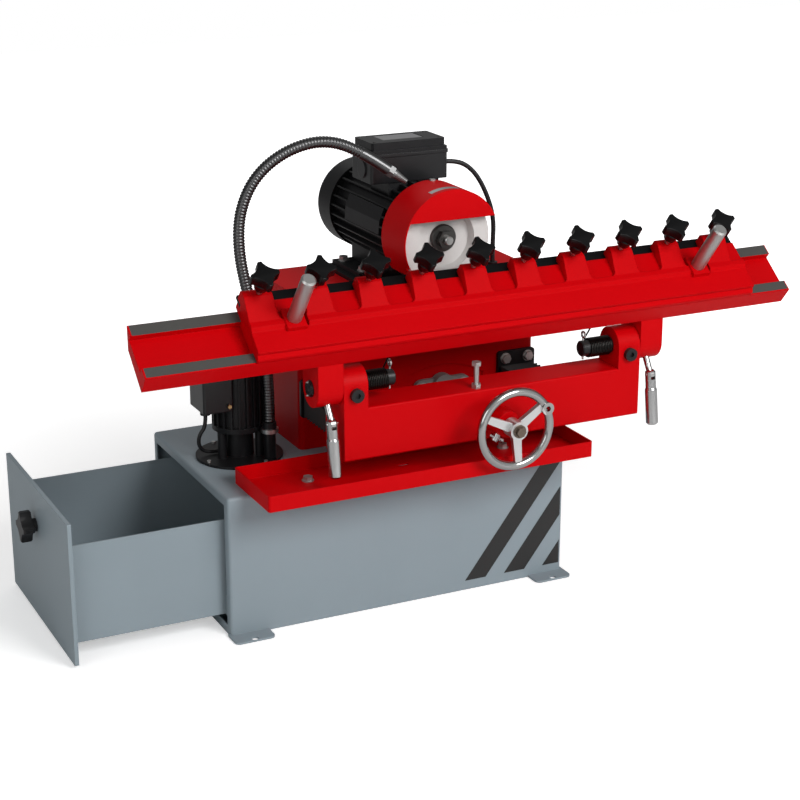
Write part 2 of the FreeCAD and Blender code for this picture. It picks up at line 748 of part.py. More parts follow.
def make_drawer_knob():
    face = drawer_left() - DRAWER_FRONT_SHEET
    grip = star(DRAWER_KNOB_RADIUS, DRAWER_KNOB_THICKNESS)
    foot = Vector(0, 0, -DRAWER_KNOB_STEM)
    stem = rod(foot, ALONG_Z, DRAWER_KNOB_STEM_RADIUS, DRAWER_KNOB_STEM + KNOB_CROWN)
    stud_length = DRAWER_KNOB_STEM + DRAWER_FRONT_SHEET - BOLT_GAP
    stud = rod(Vector(0, 0, -stud_length), ALONG_Z, M8_RADIUS, stud_length)
    knob = united([grip, stem, stud])
    knob.rotate(Vector(0, 0, 0), ALONG_Z, FULL_TURN / LOBES / 2)
    knob.rotate(Vector(0, 0, 0), ALONG_Y, -RIGHT_ANGLE)
    knob.translate(Vector(face - DRAWER_KNOB_STEM, DRAWER_KNOB_Y, DRAWER_KNOB_Z))
    return knob


# Drip tray

def tray_bolt_seats():
    return [Vector(x, TRAY_BOLT_Y, CABINET_HEIGHT + TRAY_SHEET) for x in TRAY_BOLT_XS]


def make_drip_tray():
    z0, z1, sheet = CABINET_HEIGHT, CABINET_HEIGHT + TRAY_DEPTH, TRAY_SHEET
    outer = rounded_box(TRAY_LEFT_X, TRAY_RIGHT_X, TRAY_FRONT_Y, TRAY_BACK_Y, z0, z1, TRAY_CORNER)
    inner = rounded_box(TRAY_LEFT_X + sheet, TRAY_RIGHT_X - sheet, TRAY_FRONT_Y + sheet, TRAY_BACK_Y - sheet,
                        z0 + sheet, z1 + OVERRUN, TRAY_CORNER - sheet)
    slot = box(TRAY_SLOT_X - TRAY_SLOT_LENGTH / 2, TRAY_SLOT_X + TRAY_SLOT_LENGTH / 2,
               TRAY_BOLT_Y - TRAY_SLOT_WIDTH / 2, TRAY_BOLT_Y + TRAY_SLOT_WIDTH / 2, z0 - OVERRUN, z1)
    holes = [bolt_hole(seat, ALONG_Z) for seat in tray_bolt_seats()]
    return without(outer, [inner, slot] + holes)


# Column, feed nut and ways

def nut_bolt_seats():
    y = COLUMN_FRONT_Y - NUT_FLANGE
    return [Vector(SCREW_X + side * NUT_EAR_SPACING / 2, y, SCREW_Z) for side in (-1, 1)]


def way_bolt_seats():
    y = COLUMN_FRONT_Y - WAY_PLATE_THICKNESS
    seats = []
    for x in (WAY_LEFT_X, WAY_RIGHT_X):
        for side in (-1, 1):
            seats.append(Vector(x + side * WAY_BOLT_SPREAD / 2, y, WAY_Z + WAY_BOLT_RISE))
    return seats


def motor_bolt_seats():
    z = COLUMN_TOP_Z + PLATE_THICKNESS + MOTOR_FOOT
    return [Vector(MOTOR_X + side * MOTOR_BOLT_HALF, y, z) for side in (-1, 1) for y in MOTOR_BOLT_YS]


def motor_bolt_shank():
    return MOTOR_FOOT + PLATE_THICKNESS + COLUMN_WALL


def make_column_body():
    outer = rounded_box(COLUMN_LEFT_X, COLUMN_RIGHT_X, COLUMN_FRONT_Y, COLUMN_BACK_Y,
                        CABINET_HEIGHT, COLUMN_TOP_Z, COLUMN_BEND)
    wall = COLUMN_WALL
    inner = box(COLUMN_LEFT_X + wall, COLUMN_RIGHT_X - wall, COLUMN_FRONT_Y + wall, COLUMN_BACK_Y - wall,
                CABINET_HEIGHT + wall, COLUMN_TOP_Z - wall)
    cutters = [inner, column_relief()]
    front = COLUMN_FRONT_Y - OVERRUN
    through = COLUMN_WALL + OVERRUN * 2
    nut_neck = SCREW_RADIUS + NUT_BOSS / 2 + BOLT_GAP
    cutters.append(rod(Vector(SCREW_X, front, SCREW_Z), ALONG_Y, nut_neck, through))
    for x in (WAY_LEFT_X, WAY_RIGHT_X):
        cutters.append(rod(Vector(x, front, WAY_Z), ALONG_Y, GUIDE_RADIUS + RUN_FIT, through))
    cutters += [bolt_hole(seat, -ALONG_Y) for seat in nut_bolt_seats() + way_bolt_seats()]
    cutters += [bolt_hole(seat, ALONG_Z, motor_bolt_shank()) for seat in motor_bolt_seats()]
    return without(outer, cutters)


def column_relief():
    """A shallow arched field in the front wall behind the feed nut."""
    x0, x1 = SCREW_X - RELIEF_WIDTH / 2, SCREW_X + RELIEF_WIDTH / 2
    y = COLUMN_FRONT_Y + RELIEF_DEPTH
    spring_z = RELIEF_TOP_Z - RELIEF_RISE
    bottom = CABINET_HEIGHT - OVERRUN
    corners = [Vector(x0, y, spring_z), Vector(x0, y, bottom), Vector(x1, y, bottom), Vector(x1, y, spring_z)]
    arch = Part.Arc(corners[3], Vector(SCREW_X, y, RELIEF_TOP_Z), corners[0]).toShape()
    wire = Part.Wire([arch] + Part.makePolygon(corners).Edges)
    return Part.Face(wire).extrude(-ALONG_Y * (RELIEF_DEPTH + OVERRUN))


def make_feed_nut():
    """The oval flange nut on the column face."""
    y = COLUMN_FRONT_Y
    pieces = [rod(Vector(SCREW_X, y, SCREW_Z), -ALONG_Y, NUT_DISC_RADIUS, NUT_FLANGE + NUT_BOSS)]
    half, web = NUT_EAR_SPACING / 2, NUT_EAR_RADIUS
    for side in (-1, 1):
        pieces.append(rod(Vector(SCREW_X + side * half, y, SCREW_Z), -ALONG_Y, web, NUT_FLANGE))
    pieces.append(box(SCREW_X - half, SCREW_X + half, y - NUT_FLANGE, y, SCREW_Z - web, SCREW_Z + web))
    neck = rod(Vector(SCREW_X, y, SCREW_Z), ALONG_Y, SCREW_RADIUS + NUT_BOSS / 2, COLUMN_WALL + NUT_BOSS)
    front = y - NUT_FLANGE - NUT_BOSS - OVERRUN
    back = y + COLUMN_WALL + NUT_BOSS + OVERRUN
    bore = rod(Vector(SCREW_X, front, SCREW_Z), ALONG_Y, SCREW_RADIUS + RUN_FIT, back - front)
    holes = [bolt_hole(seat, -ALONG_Y) for seat in nut_bolt_seats()]
    return without(united(pieces + [neck]), [bore] + holes)


def make_way_plates():
    """Bolted plates with a bore that each guide bar slides in."""
    plates = []
    for x in (WAY_LEFT_X, WAY_RIGHT_X):
        half = WAY_PLATE_WIDTH / 2
        front = COLUMN_FRONT_Y - WAY_PLATE_THICKNESS
        plate = rounded_box(x - half, x + half, front, COLUMN_FRONT_Y, WAY_Z - WAY_PLATE_BELOW,
                            WAY_Z + WAY_PLATE_ABOVE, WAY_PLATE_CORNER, ALONG_Y)
        bore = rod(Vector(x, front - OVERRUN, WAY_Z), ALONG_Y, GUIDE_RADIUS + RUN_FIT,
                   WAY_PLATE_THICKNESS + OVERRUN * 2)
        plates.append(without(plate, [bore] + [bolt_hole(seat, -ALONG_Y) for seat in way_bolt_seats()]))
    return Part.makeCompound(plates)


def folded_strip(half, y0, y1, folds, depth):
    """The zigzag outline of a bellows as (across, along) points."""
    pitch = (y1 - y0) / folds
    right = []
    for fold in range(folds):
        right.append((half - depth, y0 + fold * pitch))
        right.append((half, y0 + (fold + 1 / 2) * pitch))
    right.append((half - depth, y1))
    return right + [(-across, along) for across, along in reversed(right)]


def make_way_bellows():
    """Folded covers round the guide bars: two zigzag prisms that cross, less a core."""
    y0, y1 = BEAM_BACK_Y + SEAT_GAP, COLUMN_FRONT_Y - WAY_PLATE_THICKNESS
    half_x, half_z = BELLOWS_WIDTH / 2, BELLOWS_HEIGHT / 2
    bellows = []
    for x in (WAY_LEFT_X, WAY_RIGHT_X):
        plan = [(x + a, y, WAY_Z - half_x) for a, y in folded_strip(half_x, y0, y1, BELLOWS_FOLDS,
                                                                   BELLOWS_FOLD_DEPTH)]
        side = [(x - half_x, y, WAY_Z + a) for a, y in folded_strip(half_z, y0, y1, BELLOWS_FOLDS,
                                                                   BELLOWS_FOLD_DEPTH)]
        folds = prism(plan, ALONG_Z * BELLOWS_WIDTH).common(prism(side, ALONG_X * BELLOWS_WIDTH))
        inset = BELLOWS_FOLD_DEPTH + BELLOWS_SKIN
        core = box(x - half_x + inset, x + half_x - inset, y0 - OVERRUN, y1 + OVERRUN,
                   WAY_Z - half_z + inset, WAY_Z + half_z - inset)
        bellows.append(folds.cut(core))
    return Part.makeCompound(bellows)


# Crossbeam and what rides on it

def boss_spans():
    """The X spans of the two pivot bosses."""
    return [(BEAM_LEFT_X, BEAM_LEFT_X + BEAM_BOSS_WIDTH), (BEAM_RIGHT_X - BEAM_BOSS_WIDTH, BEAM_RIGHT_X)]


def pinch_seats():
    return [Vector((x0 + x1) / 2, BEAM_FRONT_Y, PIVOT_Z - PINCH_DROP) for x0, x1 in boss_spans()]


def make_crossbeam():
    body = rounded_box(BEAM_LEFT_X, BEAM_RIGHT_X, BEAM_FRONT_Y, BEAM_BACK_Y, BEAM_BOTTOM_Z, BEAM_TOP_Z,
                       BEAM_EDGE, ALONG_X)
    pieces, cutters = [body], []
    radius = PIVOT_BOSS_RADIUS
    for x0, x1 in boss_spans():
        pieces.append(rod(Vector(x0, PIVOT_Y, PIVOT_Z), ALONG_X, radius, x1 - x0))
        pieces.append(box(x0, x1, PIVOT_Y - radius, PIVOT_Y + radius, BEAM_TOP_Z - BEAM_EDGE, PIVOT_Z))
        cutters.append(rod(Vector(x0 - OVERRUN, PIVOT_Y, PIVOT_Z), ALONG_X, PIVOT_RADIUS + RUN_FIT,
                           x1 - x0 + OVERRUN * 2))
    for seat in pinch_seats():
        start = seat - ALONG_Y * OVERRUN
        cutters.append(rod(start, ALONG_Y, PINCH_SHANK_RADIUS + BOLT_GAP, radius + OVERRUN))
    start = Vector(SCREW_X, BEAM_FRONT_Y - OVERRUN, SCREW_Z)
    cutters.append(rod(start, ALONG_Y, SCREW_RADIUS + BOLT_GAP, BEAM_DEPTH + OVERRUN * 2))
    cutters.append(rod(Vector(STOP_X, STOP_Y, BEAM_TOP_Z - STOP_DEPTH - BOLT_GAP), ALONG_Z,
                       STOP_RADIUS + BOLT_GAP, STOP_DEPTH + OVERRUN))
    return without(united(pieces), cutters)


def make_guide_bars():
    """Two ground bars behind the beam that slide in the way plates."""
    length = COLUMN_FRONT_Y + GUIDE_REACH - BEAM_BACK_Y
    starts = [Vector(x, BEAM_BACK_Y, WAY_Z) for x in (WAY_LEFT_X, WAY_RIGHT_X)]
    return Part.makeCompound([rod(start, ALONG_Y, GUIDE_RADIUS, length) for start in starts])


def make_beam_fasteners():
    """Socket-head pinch screws, and the stop bolt with its lock nut."""
    pieces = []
    for seat in pinch_seats():
        head = rod(seat, -ALONG_Y, PINCH_RADIUS, PINCH_HEAD)
        socket = hexagon(seat - ALONG_Y * (PINCH_HEAD / 2), -ALONG_Y, PINCH_SOCKET, PINCH_HEAD)
        reach = PIVOT_BOSS_RADIUS - math.sqrt(PIVOT_RADIUS ** 2 - PINCH_DROP ** 2) - PINCH_SHANK_RADIUS
        shank = rod(seat, ALONG_Y, PINCH_SHANK_RADIUS, reach)
        pieces.append(head.fuse(shank).cut(socket))
    head_z = STOP_TOP_Z - STOP_HEAD
    stem = rod(Vector(STOP_X, STOP_Y, BEAM_TOP_Z - STOP_DEPTH), ALONG_Z, STOP_RADIUS,
               head_z - BEAM_TOP_Z + STOP_DEPTH)
    head = hexagon(Vector(STOP_X, STOP_Y, head_z), ALONG_Z, STOP_ACROSS, STOP_HEAD)
    nut = hexagon(Vector(STOP_X, STOP_Y, BEAM_TOP_Z), ALONG_Z, STOP_ACROSS, STOP_NUT)
    nut = nut.cut(rod(Vector(STOP_X, STOP_Y, BEAM_TOP_Z), ALONG_Z, STOP_RADIUS, STOP_NUT))
    return Part.makeCompound(pieces + [united([stem, head]), nut])


def make_feed_bearing():
    """The round housing on the beam front that the feed screw turns in."""
    start = Vector(SCREW_X, BEAM_FRONT_Y, SCREW_Z)
    housing = rod(start, -ALONG_Y, BEARING_RADIUS, BEARING_OUT)
    bore = rod(start + ALONG_Y * OVERRUN, -ALONG_Y, SCREW_RADIUS + RUN_FIT, BEARING_OUT + OVERRUN * 2)
    hole = rod(lock_point(0), lock_direction(), LOCK_RADIUS + RUN_FIT, BEARING_RADIUS + OVERRUN)
    return without(housing, [bore, hole])


def lock_direction():
    turn = math.radians(LOCK_ANGLE)
    return Vector(math.cos(turn), 0, math.sin(turn))


def lock_point(distance):
    return Vector(SCREW_X, LOCK_Y, SCREW_Z) + lock_direction() * distance


def make_lock_screw():
    """The cross-handled screw that stops the feed from creeping."""
    outward = lock_direction()
    start = SCREW_RADIUS + SEAT_GAP
    stem = rod(lock_point(start), outward, LOCK_RADIUS, LOCK_REACH - start)
    head = rod(lock_point(LOCK_REACH - LOCK_HEAD), outward, LOCK_HEAD_RADIUS, LOCK_HEAD)
    across = ALONG_Y.cross(outward)
    bar_start = lock_point(LOCK_REACH - LOCK_HEAD / 2) - across * (LOCK_BAR / 2)
    bar = rod(bar_start, across, LOCK_BAR_RADIUS, LOCK_BAR)
    return united([stem, head, bar])


def hub_back_y():
    return WHEEL_RIM_Y + WHEEL_HUB - WHEEL_HUB_OUT


def make_feed_screw():
    """The feed screw, and the bolt that holds the handwheel on it."""
    start = Vector(SCREW_X, hub_back_y() - WHEEL_HUB / 2, SCREW_Z)
    end = COLUMN_FRONT_Y + SCREW_REACH
    return Part.makeCompound([rod(start, ALONG_Y, SCREW_RADIUS, end - start.y), make_handwheel_bolt()])


def make_handwheel():
    """A cast wheel: round rim, three tapered spokes, hub and a crank boss."""
    ring = WHEEL_OUTER_RADIUS - WHEEL_RIM_RADIUS
    centre = Vector(SCREW_X, WHEEL_RIM_Y, SCREW_Z)
    pieces = [Part.makeTorus(ring, WHEEL_RIM_RADIUS, centre, ALONG_Y)]
    hub_start = Vector(SCREW_X, hub_back_y(), SCREW_Z)
    pieces.append(rod(hub_start, -ALONG_Y, WHEEL_HUB_RADIUS, WHEEL_HUB))
    half, depth = WHEEL_SPOKE_WIDTH / 2, WHEEL_SPOKE_THICKNESS
    for spoke in range(WHEEL_SPOKES):
        outline = [(0, -depth / 2, -half), (ring, -depth / 2, -half * SPOKE_TIP_SHARE),
                   (ring, -depth / 2, half * SPOKE_TIP_SHARE), (0, -depth / 2, half)]
        arm = prism(outline, ALONG_Y * depth)
        arm.rotate(Vector(0, 0, 0), ALONG_Y, -(WHEEL_SPOKE_ANGLE + spoke * FULL_TURN / WHEEL_SPOKES))
        arm.translate(centre)
        pieces.append(arm)
    crank = round_about(SCREW_X, SCREW_Z, ring, CRANK_ANGLE, WHEEL_RIM_Y + CRANK_BOSS / 2)
    pieces.append(rod(crank, -ALONG_Y, CRANK_BOSS_RADIUS, CRANK_BOSS))
    wheel = united(pieces)
    bore = rod(hub_start + ALONG_Y * OVERRUN, -ALONG_Y, SCREW_RADIUS, OVERRUN + WHEEL_HUB / 2)
    tapped = rod(hub_start, -ALONG_Y, WHEEL_BOLT_RADIUS, WHEEL_HUB + OVERRUN)
    hole = rod(crank + ALONG_Y * OVERRUN, -ALONG_Y, CRANK_HOLE_RADIUS, CRANK_BOSS + OVERRUN * 2)
    return without(wheel, [bore, tapped, hole])


def make_handwheel_bolt():
    face = Vector(SCREW_X, hub_back_y() - WHEEL_HUB, SCREW_Z)
    washer = rod(face, -ALONG_Y, WHEEL_WASHER_RADIUS, WHEEL_WASHER)
    head = hexagon(face - ALONG_Y * WHEEL_WASHER, -ALONG_Y, WHEEL_BOLT_ACROSS, WHEEL_BOLT_HEAD)
    shank = rod(face, ALONG_Y, WHEEL_BOLT_RADIUS, WHEEL_HUB / 2)
    return united([washer, head, shank])


# Knife rail, its shafts, springs and levers

def rail_top():
    """The upper outline of the rail from its front edge to its back edge, as (w, n)."""
    way, width, recess = RAIL_WAY, RAIL_WIDTH, -RAIL_RECESS
    return [(0, 0), (way, 0), (way, recess), (width - way, recess), (width - way, 0), (width, 0)]


def rail_under(w):
    """The height of the flat underside below a place across the rail."""
    share = w / (RAIL_WIDTH * RAIL_BACK_SHARE)
    return -RAIL_FRONT_DEPTH + (RAIL_FRONT_DEPTH - RAIL_BACK_DEPTH) * share


def make_knife_rail():
    corner = RAIL_WIDTH * RAIL_BACK_SHARE
    outline = rail_top() + [(corner, -RAIL_BACK_DEPTH), (0, -RAIL_FRONT_DEPTH)]
    length = RAIL_RIGHT_X - RAIL_LEFT_X
    bar = prism([(RAIL_LEFT_X, w, n) for w, n in outline], ALONG_X * length)
    pieces = [bar]
    for x0, x1 in lug_spans():
        pieces.append(lug(x0, x1))
    rail = on_rail(united(pieces))
    cutters = []
    for x0, x1 in lug_spans():
        start = Vector(x0 - OVERRUN, PIVOT_Y, PIVOT_Z)
        cutters.append(rod(start, ALONG_X, PIVOT_RADIUS, x1 - x0 + OVERRUN * 2))
        pivot = Vector((x0 + x1) / 2, PIVOT_Y, PIVOT_Z)
        cutters.append(rod(pivot, lever_direction(), LEVER_SCREW_RADIUS + RUN_FIT, PIVOT_BOSS_RADIUS * 2))
    return without(rail, cutters)


def lug_spans():
    """The X spans of the two lugs, outboard of the beam."""
    left = BEAM_LEFT_X - LUG_GAP
    right = BEAM_RIGHT_X + LUG_GAP
    return [(left - LUG_WIDTH, left), (right, right + LUG_WIDTH)]


def lug(x0, x1):
    """A lug with a round foot about the pivot and sides that stand upright when the rail is at rest."""
    radius = PIVOT_BOSS_RADIUS
    front_w, front_n = RAIL_PIVOT_W - radius * RAIL_COS, RAIL_PIVOT_N + radius * RAIL_SIN
    back_w, back_n = RAIL_PIVOT_W + radius * RAIL_COS, RAIL_PIVOT_N - radius * RAIL_SIN
    low_w, low_n = RAIL_PIVOT_W - radius * RAIL_SIN, RAIL_PIVOT_N - radius * RAIL_COS
    rise = (-RAIL_BACK_DEPTH - back_n) / RAIL_COS
    top_w = back_w + rise * RAIL_SIN
    seat = RAIL_RECESS / 2
    corners = [Vector(x0, front_w, front_n), Vector(x0, 0, -RAIL_FRONT_DEPTH),
               Vector(x0, 0, seat - RAIL_FRONT_DEPTH), Vector(x0, top_w, -RAIL_BACK_DEPTH),
               Vector(x0, back_w, back_n)]
    foot = Part.Arc(corners[-1], Vector(x0, low_w, low_n), corners[0]).toShape()
    return Part.Face(Part.Wire(Part.makePolygon(corners).Edges + [foot])).extrude(ALONG_X * (x1 - x0))


def shaft_spans():
    """The X spans of the two pivot shafts."""
    left = lug_spans()[0][0] - PIVOT_OUTER_PROUD
    right = lug_spans()[1][1] + PIVOT_OUTER_PROUD
    return [(left, left + shaft_length()), (right - shaft_length(), right)]


def shaft_length():
    return PIVOT_OUTER_PROUD + LUG_WIDTH + LUG_GAP + PIVOT_INNER_REACH


def split_pin_xs():
    left, right = shaft_spans()
    return [left[1] - PIN_INSET, right[0] + PIN_INSET]


def make_pivot_shafts():
    holes = [rod(Vector(x, PIVOT_Y, PIVOT_Z - PIVOT_RADIUS * 2), ALONG_Z, PIN_RADIUS, PIVOT_RADIUS * 4)
             for x in split_pin_xs()]
    edge = SHAFT_EDGE
    shafts = []
    for x0, x1 in shaft_spans():
        profile = [(0, 0), (PIVOT_RADIUS - edge, 0), (PIVOT_RADIUS, edge), (PIVOT_RADIUS, x1 - x0 - edge),
                   (PIVOT_RADIUS - edge, x1 - x0), (0, x1 - x0)]
        shafts.append(without(spun(profile, Vector(x0, PIVOT_Y, PIVOT_Z), ALONG_X), holes))
    return Part.makeCompound(shafts + split_pins())


def split_pins():
    """Cotter pins through the inner shaft ends."""
    pins = []
    for x in split_pin_xs():
        length = PIVOT_RADIUS * 2 + PIN_TAIL * 2
        bottom = Vector(x, PIVOT_Y, PIVOT_Z - length / 2)
        stem = rod(bottom, ALONG_Z, PIN_RADIUS, length)
        top = bottom + ALONG_Z * (length + PIN_EYE_RADIUS)
        eye = Part.makeTorus(PIN_EYE_RADIUS, PIN_RADIUS, top, ALONG_X)
        pins.append(united([stem, eye]))
    return pins


def arc_from(start, direction, end):
    """The arc from a start in a direction to an end."""
    chord = end - start
    along = unit(chord)
    aside = direction - along * direction.dot(along)
    bend = direction.getAngle(chord)
    middle = (start + end) / 2 + unit(aside) * (chord.Length / 2 * math.tan(bend / 2))
    return Part.Arc(start, middle, end).toShape()


def biarc(start, start_direction, end, end_direction):
    """Two arcs that leave a point and reach another in given directions."""
    chord = end - start
    total = start_direction + end_direction
    spread = 2 * (1 - start_direction.dot(end_direction))
    root = math.sqrt(chord.dot(total) ** 2 + spread * chord.dot(chord))
    reach = (root - chord.dot(total)) / spread
    joint = (start + start_direction * reach + end - end_direction * reach) / 2
    first = arc_from(start, start_direction, joint)
    second = arc_from(end, end_direction * -1, joint)
    middle = second.valueAt((second.FirstParameter + second.LastParameter) / 2)
    return first, Part.Arc(joint, middle, end).toShape()


def spring_wire(x0, side):
    """One spring in the rail's frame: a coil round the shaft and a leg up to the rail."""
    radius = PIVOT_RADIUS + SPRING_CLEAR + SPRING_WIRE_RADIUS
    lead = side * SPRING_PITCH / (math.tau * radius)

    def place(turn):
        return Vector(x0 + side * SPRING_PITCH * turn / math.tau, RAIL_PIVOT_W + radius * math.cos(turn),
                      RAIL_PIVOT_N + radius * math.sin(turn))

    def heading(turn):
        return unit(Vector(lead, -math.sin(turn), math.cos(turn)))

    quarters = SPRING_TURNS * 4
    edges = []
    for quarter in range(quarters):
        turn0 = (quarter - quarters) * math.pi / 2
        turn1 = turn0 + math.pi / 2
        edges += biarc(place(turn0), heading(turn0), place(turn1), heading(turn1))
    top = rail_under(RAIL_PIVOT_W + radius) - SEAT_GAP
    rise = top - RAIL_PIVOT_N
    edges.append(Part.LineSegment(place(0), place(0) + heading(0) * rise).toShape())
    return edges


def make_torsion_springs():
    """Coil springs round the shafts, whose legs push the rail up."""
    left, right = boss_spans()
    reach = SPRING_END_GAP + SPRING_TURNS * SPRING_PITCH
    springs = []
    for name, start, side in (("left spring", left[1] + reach, 1), ("right spring", right[0] - reach, -1)):
        springs.append(on_rail(swept(name, spring_wire(start, side), SPRING_WIRE_RADIUS)))
    print("spring gap between turns", round(SPRING_PITCH - SPRING_WIRE_RADIUS * 2, 2))
    return Part.makeCompound(springs)


def lever_direction():
    """From the pivot to the pin of the clamp lever."""
    return unit(Vector(0, LEVER_PIN_Y - PIVOT_Y, LEVER_PIN_Z - PIVOT_Z))


def lever_screw_top(x):
    return Vector(x, PIVOT_Y, PIVOT_Z) + lever_direction() * (PIVOT_RADIUS + SEAT_GAP)


def lever_xs():
    return [(x0 + x1) / 2 for x0, x1 in lug_spans()]


def make_lever_screw(x):
    """A clamp screw with a flat eye for the lever's pin."""
    pin = Vector(x, LEVER_PIN_Y, LEVER_PIN_Z)
    top = lever_screw_top(x)
    stem = rod(top, lever_direction(), LEVER_SCREW_RADIUS, (pin - top).Length)
    eye = rod(pin - ALONG_X * (LEVER_EYE_WIDTH / 2), ALONG_X, LEVER_EYE_RADIUS, LEVER_EYE_WIDTH)
    sides = [box(x + LEVER_EYE_WIDTH / 2, x + LEVER_EYE_WIDTH * 2, LEVER_PIN_Y - LEVER_EYE_RADIUS * 2,
                 PIVOT_Y, LEVER_PIN_Z - LEVER_EYE_RADIUS * 2, LEVER_PIN_Z + LEVER_FORK_RADIUS * 3 / 2)]
    sides.append(sides[0].mirror(Vector(x, 0, 0), ALONG_X))
    bore = rod(pin - ALONG_X * LEVER_EYE_WIDTH, ALONG_X, LEVER_PIN_RADIUS + RUN_FIT, LEVER_EYE_WIDTH * 2)
    return without(united([without(stem, sides), eye]), [bore])


def make_lever_handle(x):
    """A hanging handle: a forked end with its pin, and a turned grip."""
    fork = [(0, -LEVER_FORK_RADIUS), (LEVER_FORK_RADIUS / 2, -LEVER_FORK_RADIUS),
            (LEVER_FORK_RADIUS, -LEVER_FORK_RADIUS / 2), (LEVER_FORK_RADIUS, LEVER_FORK - LEVER_GRIP_TIP),
            (LEVER_GRIP_RADIUS, LEVER_FORK), (LEVER_GRIP_RADIUS, LEVER_FORK + LEVER_GRIP - LEVER_GRIP_TIP),
            (LEVER_GRIP_RADIUS - LEVER_GRIP_TIP, LEVER_FORK + LEVER_GRIP), (0, LEVER_FORK + LEVER_GRIP)]
    handle = spun(fork, Vector(0, 0, 0), -ALONG_Z)
    half = LEVER_EYE_WIDTH / 2 + SEAT_GAP
    slot = box(-half, half, -LEVER_GRIP_RADIUS * 2, LEVER_GRIP_RADIUS * 2,
               -LEVER_EYE_RADIUS - SEAT_GAP * 2, LEVER_FORK)
    pin = rod(Vector(-LEVER_FORK_RADIUS, 0, 0), ALONG_X, LEVER_PIN_RADIUS, LEVER_FORK_RADIUS * 2)
    handle = united([handle.cut(slot), pin])
    handle.rotate(Vector(0, 0, 0), ALONG_X, -LEVER_HANG)
    handle.translate(Vector(x, LEVER_PIN_Y, LEVER_PIN_Z))
    return handle


# Knife carriage

def knob_xs():
    return [ARM_FIRST_X + ARM_SPACING * index for index in range(ARM_COUNT)]


def pocket_xs():
    return [x + ARM_SPACING / 2 for x in knob_xs()[:-1]]


def handle_xs():
    return [pocket_xs()[0], pocket_xs()[-1]]


def carriage_span():
    return ALONG_X * (CARRIAGE_RIGHT_X - CARRIAGE_LEFT_X)


def make_carriage_base():
    """The slide plate with a tongue that runs between the ways."""
    way = RAIL_WAY + SEAT_GAP
    deep = RAIL_WIDTH - way
    outline = [(0, SEAT_GAP), (way, SEAT_GAP), (way, -TONGUE_DEPTH), (deep, -TONGUE_DEPTH), (deep, SEAT_GAP),
               (BASE_BACK_W, SEAT_GAP), (BASE_BACK_W, base_top()), (KEEPER_W, base_top()),
               (0, base_top() - KEEPER_W)]
    base = prism([(CARRIAGE_LEFT_X, w, n) for w, n in outline], carriage_span())
    return on_rail(base)


def base_top():
    return SEAT_GAP + BASE_THICKNESS


def make_clamp_plate():
    """The upper casting: a comb of arms over the clamp bar, with a pocket between each pair."""
    top = base_top()
    bar_back = BAR_FRONT_W - SEAT_GAP
    outline = [(CLAMP_FRONT_W, top), (CLAMP_FRONT_W, top + CLAMP_APRON), (CLAMP_STEP_W, CLAMP_STEP_TOP),
               (CLAMP_SHOULDER_W, CLAMP_SHOULDER_N), (ARM_START_W, CLAMP_SHOULDER_N), (ARM_TOP_W, ARM_TOP_N),
               (ARM_TIP_W - ARM_TIP, ARM_TOP_N), (ARM_TIP_W, ARM_TIP_N), (ARM_TIP_W, top + BAR_THICKNESS),
               (bar_back, top + BAR_THICKNESS), (bar_back, top)]
    plate = prism([(CARRIAGE_LEFT_X, w, n) for w, n in outline], carriage_span())
    cutters = [pocket_cutter(x) for x in pocket_xs()]
    stud_room = KNOB_STUD_RADIUS + RUN_FIT
    cutters += [rod(Vector(x, KNOB_W, 0), ALONG_Z, stud_room, KNOB_FOOT_N) for x in knob_xs()]
    last = knob_xs()[-1] + (ARM_SPACING - POCKET_WIDTH) / 2
    cutters.append(box(last, CARRIAGE_RIGHT_X + OVERRUN, ARM_START_W, ARM_TIP_W + OVERRUN,
                       POCKET_FLOOR, ARM_TOP_N + OVERRUN))
    cutters.append(box(last, CARRIAGE_RIGHT_X + OVERRUN, bar_back, ARM_TIP_W + OVERRUN,
                       top - OVERRUN, ARM_TOP_N + OVERRUN))
    plate = without(plate, cutters)
    pads = [handle_pad(x) for x in handle_xs()]
    holes = [rod(Vector(x, HANDLE_W, HANDLE_LOW_N - OVERRUN), ALONG_Z, HANDLE_RADIUS / 2, OVERRUN * 2)
             for x in handle_xs()]
    slots = [box(x + HANDLE_PAD / 2, x + HANDLE_PAD / 2 + HANDLE_SLOT, HANDLE_W - HANDLE_SLOT_W / 2,
                 HANDLE_W + HANDLE_SLOT_W / 2, base_top() + RUN_FIT, HANDLE_LOW_N * 2) for x in handle_xs()]
    return on_rail(without(united([plate] + pads), slots + holes))


def handle_pad(x):
    """The raised pad that a push handle stands on."""
    w0, w1 = HANDLE_W - HANDLE_PAD_W / 2, HANDLE_W + HANDLE_PAD_W / 2
    return box(x - HANDLE_PAD / 2, x + HANDLE_PAD / 2, w0, w1, base_top(), HANDLE_LOW_N)


